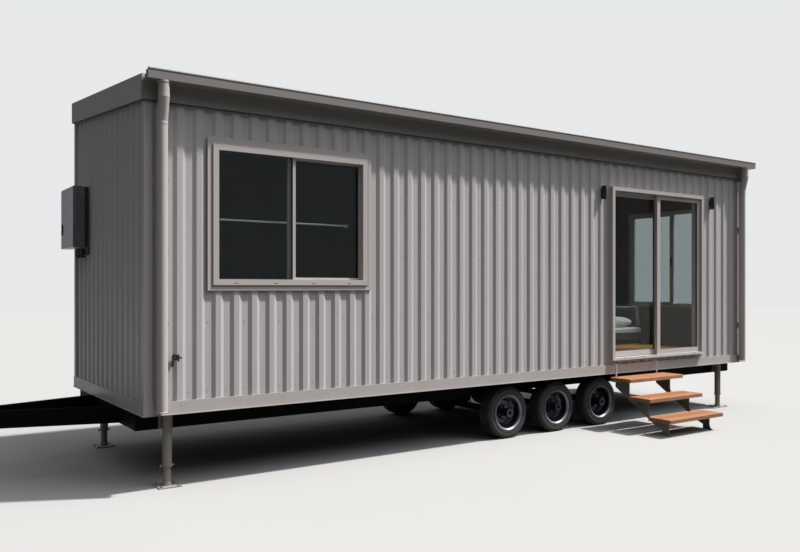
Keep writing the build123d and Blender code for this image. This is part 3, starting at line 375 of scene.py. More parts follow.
@dataclass(frozen=True)
class TwoTone(Finish):
    """Enamelled casing: a pale front shell, darker sides behind a seam, a dark back, and faces that
    look upwards in the pale colour, partly the pale top and partly a painted highlight.
    """

    front: Colour
    sides: Colour
    seam: float
    back: float

    def build(self, graph: Graph) -> None:
        """Builds the nodes of the finish.

        Args:
            graph: The graph of the finish's material.
        """
        ahead = graph.axis("X") < (HOUSE.origin.x + self.seam)
        behind = graph.axis("X") > (HOUSE.origin.x + self.back)
        cloudy = graph.noise(6.0)
        front = graph.tint(self.front, 0.90, cloudy)
        sides = graph.tint(self.sides, 1.6, graph.remap(graph.noise(14.0, (1, 1, 0.3)), 0.4, 0.8))
        sides = graph.tint(self.sides, 0.12, behind, sides)
        # Faces that look upwards take the pale colour: partly the pale top, partly a painted
        # highlight.
        sides = graph.mix(graph.upward(0.4, 0.7), sides, front)
        normal = graph.bump(graph.noise(520.0, detail=2.0), 0.0001)
        graph.surface(base=graph.mix(ahead, sides, front), normal=normal,
                      roughness=0.30 + 0.12 * cloudy)


@dataclass(frozen=True)
class Timber(Finish):
    """Oiled boards with their grain along X, a tone of their own and dark joints, and where asked
    painted shade, near black, below a height.
    """

    light: Colour
    dark: Colour
    board: float
    joint: float = 0.0
    across: str = "Y"
    painted_shade_below: float | None = None
    roughness: float = 0.48

    def build(self, graph: Graph) -> None:
        """Builds the nodes of the finish.

        Args:
            graph: The graph of the finish's material.
        """
        boards = graph.axis(self.across) / self.board
        own = graph.add("ShaderNodeTexWhiteNoise", {"noise_dimensions": "1D"}, {
            "W": boards.floor()})
        fibres = graph.noise(9.0, (0.9, 16.0, 16.0), 7.0)
        rings = graph.add("ShaderNodeTexWave", {"bands_direction": "Y"}, {
            "Vector": self._shifted(graph, own) if self.joint else graph.here(),
            "Scale": 7.0, "Distortion": 9.0, "Detail": 3.0, "Detail Scale": 0.35}, out="Fac")
        tone = 0.45 * fibres + 0.30 * rings + 0.28 * own
        base = graph.mix(graph.remap(tone, 0.25, 0.80), self.light, self.dark)
        pores = graph.remap(graph.noise(60.0, (0.5, 9.0, 9.0), 4.0), 0.62, 0.75)
        base = graph.tint(self.dark, 0.45, pores * 0.45, base)
        height = 0.5 * fibres - 0.5 * pores
        if self.joint:
            half = self.joint / self.board / 2
            edge = boards.fraction()
            gap = (edge < half) + (edge > (1.0 - half))
            base = graph.tint(self.dark, 0.12, gap * 0.85, base)
            height = height - 4.0 * gap
        # Painted shade: below this height the boards' edges and underside are near black.
        if self.painted_shade_below is not None:
            below = graph.axis("Z") < self.painted_shade_below
            base = graph.mix(below, base, (0.035, 0.032, 0.030))
        graph.surface(base=base, normal=graph.bump(height, 0.0006),
                      roughness=self.roughness + 0.15 * fibres - 0.08 * own)

    def _shifted(self, graph: Graph, own: Wire) -> Wire:
        """Object coordinates moved along the board by its own number."""
        shift = graph.put("ShaderNodeCombineXYZ", X=own * 7.0, Z=own * 3.0)
        return graph.add("ShaderNodeVectorMath", {"operation": "ADD"}, {0: graph.here(), 1: shift})


@dataclass(frozen=True)
class SteelPaint(Finish):
    """Brushed or sprayed enamel on structural steel, dusty on top and chipped in places."""

    colour: Colour
    roughness: float = 0.42
    dust: float = 0.25
    metallic: float = 0.0
    chips: float = 0.5
    specular: float = 0.5
    zinc_above: float | None = None

    def build(self, graph: Graph) -> None:
        """Builds the nodes of the finish.

        Args:
            graph: The graph of the finish's material.
        """
        cloud = graph.noise(3.5, detail=5.0)
        speck = graph.remap(graph.noise(75.0, detail=3.0), 0.70, 0.74)
        lying = graph.upward(0.3, 1.0) * graph.remap(cloud, 0.3, 0.7)
        base = graph.tint(self.colour, 1.35, cloud)
        base = graph.mix(lying * self.dust, base, (0.16, 0.14, 0.12))
        base = graph.mix(speck * self.chips, base, (0.11, 0.07, 0.05))
        if self.zinc_above is not None:
            bare = graph.axis("Z") > self.zinc_above
            base = graph.mix(bare, base, (0.52, 0.52, 0.53))
        graph.surface(base=base, roughness=self.roughness + 0.25 * lying + 0.14 * (cloud - 0.5),
                      normal=graph.bump(graph.noise(160.0, detail=2.0) - speck, 0.0003),
                      metallic=self.metallic, specular=self.specular)


@dataclass(frozen=True)
class Rubber(Finish):
    """Dull rubber with road dust in its hollows."""

    colour: Colour
    dust: float = 0.3

    def build(self, graph: Graph) -> None:
        """Builds the nodes of the finish.

        Args:
            graph: The graph of the finish's material.
        """
        cloud = graph.remap(graph.noise(11.0, detail=6.0), 0.35, 0.75)
        base = graph.mix(cloud * self.dust, self.colour, (0.095, 0.085, 0.075))
        normal = graph.bump(graph.noise(230.0, detail=3.0), 0.0004)
        graph.surface(base=base, roughness=0.66 + 0.16 * cloud, normal=normal)


@dataclass(frozen=True)
class Glazing(Finish):
    """Toned float glass that lets lamps through, with a trace of dust."""

    colour: Colour
    ior: float = 1.5

    def build(self, graph: Graph) -> None:
        """Builds the nodes of the finish.

        Args:
            graph: The graph of the finish's material.
        """
        dust = graph.noise(3.0, (1.0, 1.0, 0.4), 5.0)
        glass = graph.principled(base=self.colour, transmission_weight=1.0, ior=self.ior,
                                 roughness=graph.remap(dust, 0.45, 0.8, 0.0, 0.035))
        clear = graph.put("ShaderNodeBsdfTransparent", Color=self.colour)
        lamp = graph.put("ShaderNodeLightPath", "Is Shadow Ray")
        graph.finish(graph.mixed(lamp, glass, clear))


@dataclass(frozen=True)
class Cloth(Finish):
    """Woven upholstery, its threads crossing at a given spacing."""

    colour: Colour
    thread: float = 0.0022
    sheen: float = 0.25

    def build(self, graph: Graph) -> None:
        """Builds the nodes of the finish.

        Args:
            graph: The graph of the finish's material.
        """
        waves = {axis: (graph.axis(axis) * (FULL_TURN / self.thread)).sine() for axis in "XZY"}
        cloud = graph.noise(9.0, detail=4.0)
        slub = graph.remap(graph.noise(30.0, (1.0, 1.0, 9.0), 3.0), 0.55, 0.75)
        base = graph.tint(self.colour, 0.80, cloud)
        base = graph.mix(slub * 0.2, base, tuple(min(1.0, c * 1.35 + 0.01) for c in self.colour))
        normal = graph.bump(waves["X"] * waves["Z"] + waves["Y"] + slub, 0.0004, 0.7)
        graph.surface(base=base, roughness=0.86 + 0.08 * cloud, normal=normal,
                      sheen_weight=self.sheen)


@dataclass(frozen=True)
class Moulded(Finish):
    """Moulded plastic, plated metal or enamel of one colour with a fine grain."""

    colour: Colour
    roughness: float = 0.5
    metallic: float = 0.0

    def build(self, graph: Graph) -> None:
        """Builds the nodes of the finish.

        Args:
            graph: The graph of the finish's material.
        """
        cloud = graph.noise(18.0, detail=4.0)
        normal = graph.bump(graph.noise(650.0, detail=2.0), 0.00015)
        graph.surface(base=graph.tint(self.colour, 0.82, cloud), metallic=self.metallic,
                      roughness=self.roughness + 0.12 * (cloud - 0.5), normal=normal)


@dataclass(frozen=True)
class Lining(Finish):
    """Painted lining board with narrow vertical joints."""

    colour: Colour
    sheet: float = 1.2

    def build(self, graph: Graph) -> None:
        """Builds the nodes of the finish.

        Args:
            graph: The graph of the finish's material.
        """
        place = (graph.axis("X") / self.sheet).fraction()
        joint = (place < 0.0025) + (place > 0.9975)
        cloud = graph.noise(2.5, detail=4.0)
        base = graph.tint(self.colour, 0.4, joint * 0.5, graph.tint(self.colour, 0.94, cloud))
        normal = graph.bump(graph.noise(90.0, detail=3.0) * 0.2 - joint, 0.0008)
        graph.surface(base=base, roughness=0.62 + 0.1 * cloud, normal=normal)


class Finishes(Enum):
    """Every finish of the house."""

    CLADDING = SheetPaint("cladding_paint", (0.445, 0.425, 0.430))
    TRIM = SheetPaint("trim_paint", (0.440, 0.412, 0.402), streak=0.06)
    # Trim paint, with painted shade on the barge trims' faces that look upwards.
    CAPPING = SheetPaint("capping_paint_with_painted_shade", (0.440, 0.412, 0.402), streak=0.06, painted_top_shade=0.45)
    # Trim paint darkened to about half: painted shade under the gutter.
    FASCIA = SheetPaint("fascia_painted_shade", (0.214, 0.201, 0.196), streak=0.06)
    # Darker than the trim paint as painted shade on the gutter's face, with painted shade on its
    # up-facing faces too.
    GUTTER = SheetPaint("gutter_paint_with_painted_shade", (0.207, 0.195, 0.190), streak=0.06, painted_top_shade=0.7)
    ROOF = SheetPaint("roof_paint", (0.300, 0.286, 0.282), roughness=0.5, splash=0.0)
    WINDOW_BAR = SheetPaint("window_powder_coat", (0.470, 0.438, 0.424), roughness=0.38,
                            streak=0.04, splash=0.0)
    DOOR_BAR = SheetPaint("door_powder_coat", (0.460, 0.428, 0.420), roughness=0.38, streak=0.04)
    LINING = Lining("lining_board", (0.062, 0.062, 0.058))
    # Floor boards with painted shade below 0.78 m.
    FLOOR = Timber("floor_boards", (0.86, 0.40, 0.070), (0.60, 0.25, 0.035), 0.135, joint=0.003,
                   painted_shade_below=0.780, roughness=0.40)
    TREAD = Timber("tread_boards", (0.345, 0.156, 0.074), (0.225, 0.092, 0.040), 0.098)
    BED = Timber("bed_boards", (0.070, 0.055, 0.030), (0.035, 0.026, 0.014), 0.15, across="Z")
    WINDOW_GLASS = Glazing("window_glass", (0.42, 0.46, 0.47))
    DOOR_GLASS = Glazing("door_glass", (0.66, 0.70, 0.69), ior=1.2)
    CHASSIS = SteelPaint("chassis_paint", (0.004, 0.004, 0.0045), roughness=0.6, dust=0.03,
                         specular=0.03)
    SPRING = SteelPaint("spring_paint", (0.012, 0.011, 0.011), roughness=0.55, specular=0.3)
    # Near black, far darker than the bluish silver of the rim: painted shade under the body.
    RIM = SteelPaint("rim_painted_shade", (0.026, 0.028, 0.040), roughness=0.24, metallic=0.5, dust=0.08,
                     chips=0.0)
    # Far paler than the rim paint: a painted highlight on the rim's rolled edge.
    RIM_LIP_HIGHLIGHT = SteelPaint("rim_lip_painted_highlight", (0.20, 0.21, 0.26), roughness=0.3, metallic=0.2,
                         dust=0.05, chips=0.0)
    LEG = SteelPaint("leg_paint", (0.260, 0.230, 0.204), roughness=0.45, dust=0.2, chips=0.3)
    STRINGER = SteelPaint("stringer_paint", (0.20, 0.195, 0.20), roughness=0.34, dust=0.3,
                          zinc_above=0.603)
    TYRE = Rubber("tyre_rubber", (0.030, 0.030, 0.031))
    SEAL = Rubber("seal_rubber", (0.012, 0.012, 0.012), dust=0.12)
    LAMP = Moulded("lamp_enamel", (0.012, 0.012, 0.014), roughness=0.28)
    LENS = Moulded("lamp_lens", (0.62, 0.60, 0.55), roughness=0.2)
    HEATER = TwoTone("heater_enamel", (0.90, 0.88, 0.97), (0.130, 0.128, 0.145), -0.150, -0.040)
    DARK_PLASTIC = Moulded("dark_plastic", (0.008, 0.008, 0.009), roughness=0.45)
    TAP = Moulded("tap_enamel", (0.010, 0.010, 0.011), roughness=0.3)
    ZINC = Moulded("zinc_plate", (0.46, 0.47, 0.48), roughness=0.32, metallic=1.0)
    SATIN_WHITE = Moulded("rod_white", (0.78, 0.80, 0.82), roughness=0.3)
    MATTRESS = Cloth("mattress_cloth", (0.80, 0.82, 0.82))
    PALE_CUSHION = Cloth("pale_cushion", (0.80, 0.85, 0.91))
    DARK_CUSHION = Cloth("dark_cushion", (0.009, 0.011, 0.017), sheen=0.0)
    PIPING = Cloth("cushion_piping", (0.90, 0.90, 0.90), thread=0.0016)

    def dress(self, *nodes: str) -> None:
        """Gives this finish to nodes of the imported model.

        Args:
            *nodes: Their names.
        """
        for node in nodes:
            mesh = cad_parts[node].data
            mesh.materials.clear()
            mesh.materials.append(self.value.material())


def linked(name: str, data: bpy.types.ID) -> bpy.types.Object:
    """A new object with this data, in the scene.

    Args:
        name: The object's name.
        data: Its mesh, light or camera.

    Returns:
        The object.
    """
    made = bpy.data.objects.new(name, data)
    bpy.context.scene.collection.objects.link(made)
    return made


def evaluated(holder: bpy.types.Object) -> bpy.types.Mesh:
    """The mesh that an object's modifiers make. The object itself goes.

    Args:
        holder: An object with modifiers.

    Returns:
        The plain mesh.
    """
    view = bpy.context.evaluated_depsgraph_get()
    made = bpy.data.meshes.new_from_object(holder.evaluated_get(view), depsgraph=view)
    bpy.data.objects.remove(holder)
    return made


def keep_piece(name: str, mesh: bpy.types.Mesh, body: str = "house", smooth: bool = True,
               replaced: tuple[str, ...] = ()) -> bpy.types.Object:
    """Puts a finished mesh into the scene as a piece of the house.

    Args:
        name: The piece's name.
        mesh: Its mesh, with its place in its vertices.
        body: The body that it rides on.
        smooth: Shade it smooth below a fold of 35 degrees.
        replaced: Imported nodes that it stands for.

    Returns:
        The new object.
    """
    mesh.name = name
    if smooth:
        mesh.shade_smooth()
        mesh.set_sharp_from_angle(angle=SHARP_FOLD)
    piece = linked(name, mesh)
    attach(piece, body)
    if replaced:
        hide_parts(*replaced)
    log.info("%s: %d faces on %s", name, len(mesh.polygons), body)
    return piece


class Former:
    """Collects bevelled blocks and turned shapes into one mesh."""

    def __init__(self) -> None:
        """Starts empty."""
        self.bm = bmesh.new()

    def block(self, low: Place, high: Place, edge: float = 0.0, sloped: bool = False) -> None:
        """Adds a block between two corners, its edges rounded.

        Args:
            low: The lower corner in the house frame.
            high: The upper corner.
            edge: Width of the rounding.
            sloped: Lift it with the roof's slope.
        """
        low_at, high_at = HOUSE.at(*low), HOUSE.at(*high)
        made = bmesh.ops.create_cube(self.bm, size=1.0)["verts"]
        for vertex in made:
            vertex.co = Vector(low_at[i] + (vertex.co[i] + 0.5) * (high_at[i] - low_at[i])
                               for i in range(3))
            if sloped:
                vertex.co.z += HOUSE.rise(vertex.co.y - HOUSE.origin.y)
        if edge:
            around = list({e for v in made for e in v.link_edges})
            bmesh.ops.bevel(self.bm, geom=around, offset=edge, segments=2, profile=0.5,
                            affect="EDGES")

    def turned(self, centre: Place, axis: Place, profile: Profile, steps: int,
               ring: bool = False) -> None:
        """Adds a shape turned about an axis.

        Args:
            centre: A place on the axis, in the house frame.
            axis: Its direction.
            profile: Points of distance along the axis and radius.
            steps: Sides of the shape.
            ring: The profile is closed on itself and the shape has a hole.
        """
        turn = Vector((0, 0, 1)).rotation_difference(Vector(axis)).to_matrix()
        middle = HOUSE.at(*centre)
        loops = []
        for along, radius in profile:
            count = 1 if radius <= 0 else steps
            loops.append([self.bm.verts.new(middle + turn @ Vector((
                radius * math.cos(FULL_TURN * i / steps),
                radius * math.sin(FULL_TURN * i / steps), along))) for i in range(count)])
        pairs = list(zip(loops, loops[1:])) + ([(loops[-1], loops[0])] if ring else [])
        for first, second in pairs:
            for i in range(steps):
                corners = [first[i % len(first)], first[(i + 1) % len(first)],
                           second[(i + 1) % len(second)], second[i % len(second)]]
                unique = list(dict.fromkeys(corners))
                if len(unique) > 2:
                    self.bm.faces.new(unique)
        if not ring:
            for loop in (loops[0], loops[-1]):
                if len(loop) > 2:
                    self.bm.faces.new(loop)

    def mesh(self, name: str, finish: Finishes | None = None) -> bpy.types.Mesh:
        """Ends the work and returns the mesh, its faces outwards.

        Args:
            name: The mesh's name.
            finish: Its finish, if it gets one here.

        Returns:
            The mesh.
        """
        bmesh.ops.recalc_face_normals(self.bm, faces=self.bm.faces)
        made = bpy.data.meshes.new(name)
        self.bm.to_mesh(made)
        self.bm.free()
        if finish:
            made.materials.append(finish.value.material())
        return made

    def keep(self, name: str, finish: Finishes, body: str = "house",
             smooth: bool = True) -> None:
        """Ends the work and keeps it as a piece."""
        keep_piece(name, self.mesh(name, finish), body, smooth)


class Tool:
    """A Geometry Nodes tree with named inputs, whose result is kept as a plain mesh."""

    title = "tool"
    smooth = True
    sizes: tuple[tuple[str, str], ...] = ()
    _ready: dict[str, "Tool"] = {}

    def __init__(self) -> None:
        """Builds the tree: its inputs, its own part, then real instances with the finish."""
        self.tree = bpy.data.node_groups.new(self.title, "GeometryNodeTree")
        face = self.tree.interface
        for name, kind in (("Geometry", "Geometry"), *self.sizes, ("Finish", "Material")):
            face.new_socket(name, in_out="INPUT", socket_type=f"NodeSocket{kind}")
        face.new_socket("Geometry", in_out="OUTPUT", socket_type="NodeSocketGeometry")
        self.graph = Graph(self.tree)
        self.put = self.graph.put
        self.given = self.put("NodeGroupInput")
        real = self.put("GeometryNodeRealizeInstances", Geometry=self.build())
        done = self.put("GeometryNodeSetMaterial", Geometry=real, Material=self["Finish"])
        self.put("NodeGroupOutput", Geometry=done)

    def __getitem__(self, name: str) -> Wire:
        """One of the tree's inputs."""
        return self.given.also(name)

    def build(self) -> Wire:
        """The tree's own part."""
        raise NotImplementedError

    def vector(self, x: Wire | float = 0.0, y: Wire | float = 0.0,
               z: Wire | float = 0.0) -> Wire:
        """A vector from three values."""
        return self.put("ShaderNodeCombineXYZ", X=x, Y=y, Z=z)

    def moved(self, geometry: Wire, by: Wire | Place = (0.0, 0.0, 0.0),
              turned: Wire | Place = (0.0, 0.0, 0.0)) -> Wire:
        """Geometry turned, then moved."""
        return self.put("GeometryNodeTransform", Geometry=geometry, Translation=by,
                        Rotation=turned)

    def joined(self, *shapes: Wire) -> Wire:
        """Several geometries as one."""
        return self.put("GeometryNodeJoinGeometry", Geometry=list(shapes))

    def aligned(self, axis: str, way: Wire) -> Wire:
        """The rotation that points an axis along a vector."""
        return self.graph.add("FunctionNodeAlignRotationToVector", {"axis": axis},
                              {"Vector": way})

    def spread(self, points: Wire, instance: Wire, rotation: Wire) -> Wire:
        """A turned instance on each point."""
        return self.put("GeometryNodeInstanceOnPoints", Points=points, Instance=instance,
                        Rotation=rotation)

    @classmethod
    def run(cls, name: str, finish: Finishes, start: bpy.types.Mesh | None = None,
            **values: object) -> bpy.types.Mesh:
        """Runs the tree once and returns its result as a plain mesh.

        Args:
            name: Name of the result.
            finish: Finish of all that it makes.
            start: Mesh that goes in.
            **values: The tree's inputs, named with underscores for spaces.

        Returns:
            The new mesh.
        """
        if cls.title not in Tool._ready:
            Tool._ready[cls.title] = cls()
        tree = Tool._ready[cls.title].tree
        holder = linked(f"{name}_start", start or bpy.data.meshes.new(name))
        modifier = holder.modifiers.new("tool", "NODES")
        modifier.node_group = tree
        wanted = {k.replace("_", " ").title(): v for k, v in values.items()}
        wanted["Finish"] = finish.value.material()
        for item in tree.interface.items_tree:
            if item.in_out == "INPUT" and item.name in wanted:
                value = wanted[item.name]
                modifier[item.identifier] = tuple(value) if isinstance(value, Vector) else value
        return evaluated(holder)

    @classmethod
    def keep(cls, name: str, finish: Finishes, body: str = "house",
             start: bpy.types.Mesh | None = None, **values: object) -> None:
        """Runs the tree once and keeps the result as a piece."""
        keep_piece(name, cls.run(name, finish, start, **values), body, cls.smooth)


class FastenerTool(Tool):
    """Stands a foot and a head on every point, along its facing."""

    title = "fasteners"
    sizes = (("Foot Radius", "Float"), ("Foot Height", "Float"), ("Foot Sides", "Int"),
             ("Head Radius", "Float"), ("Head Height", "Float"), ("Head Sides", "Int"))

    def build(self) -> Wire:
        """Two short cylinders on each point.

        Returns:
            The geometry that the tree makes.
        """
        height = self["Foot Height"]
        foot = self._drum("Foot", 0.5 * height)
        head = self._drum("Head", height + 0.5 * self["Head Height"])
        facing = self.graph.add("GeometryNodeInputNamedAttribute", {"data_type": "FLOAT_VECTOR"},
                                {"Name": "facing"}, out="Attribute")
        return self.spread(self.given, self.joined(foot, head), self.aligned("Z", facing))

    def _drum(self, which: str, height: Wire) -> Wire:
        """One cylinder, its middle at a height."""
        drum = self.put("GeometryNodeMeshCylinder", Vertices=self[f"{which} Sides"],
                        Radius=self[f"{which} Radius"], Depth=self[f"{which} Height"])
        return self.moved(drum, self.vector(z=height))


class SlatTool(Tool):
    """Repeats a turned slat at even steps."""

    title = "slats"
    smooth = False
    sizes = (("First", "Vector"), ("Step", "Vector"), ("Count", "Int"), ("Size", "Vector"),
             ("Turn", "Vector"))

    def build(self) -> Wire:
        """A cube on each point of a line.

        Returns:
            The geometry that the tree makes.
        """
        line = self.graph.add("GeometryNodeMeshLine", {"mode": "OFFSET"}, {
            "Count": self["Count"], "Start Location": self["First"], "Offset": self["Step"]})
        slat = self.put("GeometryNodeMeshCube", Size=self["Size"])
        return self.spread(line, slat, self.put("FunctionNodeEulerToRotation", Euler=self["Turn"]))


class BeadTool(Tool):
    """Runs a round bead along the edges of the mesh that goes in."""

    title = "beads"
    sizes = (("Radius", "Float"), ("Sides", "Int"))

    def build(self) -> Wire:
        """A circle swept along the edges.

        Returns:
            The geometry that the tree makes.
        """
        path = self.put("GeometryNodeMeshToCurve", Mesh=self.given)
        section = self.put("GeometryNodeCurvePrimitiveCircle", Resolution=self["Sides"],
                           Radius=self["Radius"])
        return self.put("GeometryNodeCurveToMesh", Curve=path, Profile_Curve=section,
                        Fill_Caps=True)


class SealTool(Tool):
    """Frames an upright pane with a flat seal."""

    title = "seals"
    smooth = False
    sizes = (("Centre", "Vector"), ("Width", "Float"), ("Height", "Float"), ("Bar", "Float"),
             ("Depth", "Float"), ("Turn", "Float"))

    def build(self) -> Wire:
        """A rectangle swept round a rectangle, stood up and turned about Z.

        Returns:
            The geometry that the tree makes.
        """
        outline, section = (self.put("GeometryNodeCurvePrimitiveQuadrilateral",
                                     Width=self[width], Height=self[height])
                            for width, height in (("Width", "Height"), ("Bar", "Depth")))
        swept = self.put("GeometryNodeCurveToMesh", Curve=outline, Profile_Curve=section)
        upright = self.moved(swept, turned=(math.pi / 2, 0.0, 0.0))
        return self.moved(upright, self["Centre"], self.vector(z=self["Turn"]))


class TreadTool(Tool):
    """Rings a tyre's carcass with blocks: rows across its tread and lugs on both shoulders."""

    title = "tread"
    sizes = (("Centre", "Vector"), ("Radius", "Float"), ("Count", "Int"), ("Length", "Float"),
             ("Depth", "Float"), ("Width", "Float"), ("Shoulder", "Float"))
    rows = ((-2, 0.0), (-1, 0.5), (0, 0.0), (1, 0.5), (2, 0.0))

    def build(self) -> Wire:
        """Five rows and two rings of lugs, turned onto the axle and joined to the carcass.

        Returns:
            The geometry that the tree makes.
        """
        width, depth = self["Width"], self["Depth"]
        inner = self["Radius"] - 0.5 * depth
        rings = [self._ring(inner, depth, 0.82 * width, row * width, phase)
                 for row, phase in self.rows]
        low = self["Radius"] - self["Shoulder"]
        rings += [self._ring(low, 1.6 * depth, 0.36 * width, side * 2.42 * width, 0.5)
                  for side in (-1.0, 1.0)]
        turned = self.moved(self.joined(*rings), self["Centre"], (math.pi / 2, 0.0, 0.0))
        return self.joined(self.given, turned)

    def _ring(self, radius: Wire, deep: Wire, wide: Wire, along: Wire, phase: float) -> Wire:
        """One ring of blocks about Z.

        Args:
            radius: The radius that the blocks' middles stand at.
            deep: A block's size outwards.
            wide: A block's size along the axle.
            along: The ring's place along the axle.
            phase: Share of a step that it is turned by.

        Returns:
            The ring's blocks.
        """
        count = self["Count"]
        circle = self.put("GeometryNodeMeshCircle", Vertices=count, Radius=radius)
        circle = self.moved(circle, self.vector(z=along),
                            self.vector(z=(FULL_TURN * phase) / count))
        block = self.put("GeometryNodeMeshCube", Size=self.vector(deep, self["Length"], wide))
        outwards = self.graph.add("ShaderNodeVectorMath", {"operation": "MULTIPLY"}, {
            0: self.put("GeometryNodeInputPosition"), 1: (1.0, 1.0, 0.0)})
        return self.spread(circle, block, self.aligned("X", outwards))


class Points:
    """Places in the house frame, each with the way that it faces."""

    def __init__(self) -> None:
        """Starts empty."""
        self.places: list[Vector] = []
        self.facings: list[Place] = []

    def add(self, place: Place, facing: Place) -> None:
        """Adds one place."""
        self.places.append(HOUSE.at(*place))
        self.facings.append(facing)

    def grid(self, xs: Iterable[float], ys: Iterable[float], zs: Iterable[float],
             facing: Place) -> None:
        """Adds each place that has one of these x, y and z."""
        for place in itertools.product(xs, ys, zs):
            self.add(place, facing)

    def mesh(self, name: str) -> bpy.types.Mesh:
        """The places as loose points with a facing attribute.

        Args:
            name: The mesh's name.

        Returns:
            The mesh.
        """
        made = bpy.data.meshes.new(name)
        made.from_pydata([tuple(p) for p in self.places], [], [])
        facing = made.attributes.new("facing", "FLOAT_VECTOR", "POINT")
        facing.data.foreach_set("vector", [c for f in self.facings for c in f])
        return made


@dataclass(frozen=True)
class FastenerSize:
    """Foot and head of one kind of fastener."""

    foot: tuple[float, float, int]
    head: tuple[float, float, int]


class Fastener(Enum):
    """Kinds of fastener on the house, as foot and head radius, height and sides."""

    WALL_SCREW = FastenerSize((0.0052, 0.0012, 12), (0.0034, 0.0034, 6))
    ROOF_SCREW = FastenerSize((0.0110, 0.0025, 12), (0.0060, 0.0050, 6))
    RIVET = FastenerSize((0.0052, 0.0012, 10), (0.0034, 0.0012, 8))
    PAN_SCREW = FastenerSize((0.0048, 0.0012, 12), (0.0036, 0.0010, 8))
    BOLT = FastenerSize((0.0150, 0.0030, 14), (0.0105, 0.0080, 6))
    NUT = FastenerSize((0.0125, 0.0110, 6), (0.0070, 0.0070, 10))
    WHEEL_NUT = FastenerSize((0.0125, 0.0140, 6), (0.0085, 0.0100, 12))
    PIPE_UNION = FastenerSize((0.0185, 0.0100, 6), (0.0125, 0.0060, 12))
    LOCK = FastenerSize((0.0140, 0.0030, 20), (0.0085, 0.0020, 16))

    def keep(self, name: str, points: Points, finish: Finishes, body: str = "house") -> None:
        """Fixes one of these at every point and keeps them as one piece.

        Args:
            name: The piece's name.
            points: Where each one stands.
            finish: The finish of all of them.
            body: The body that they ride on.
        """
        keys = (key for key, _ in FastenerTool.sizes)
        sizes = dict(zip(keys, (*self.value.foot, *self.value.head)))
        FastenerTool.keep(name, finish, body, points.mesh(name), **sizes)


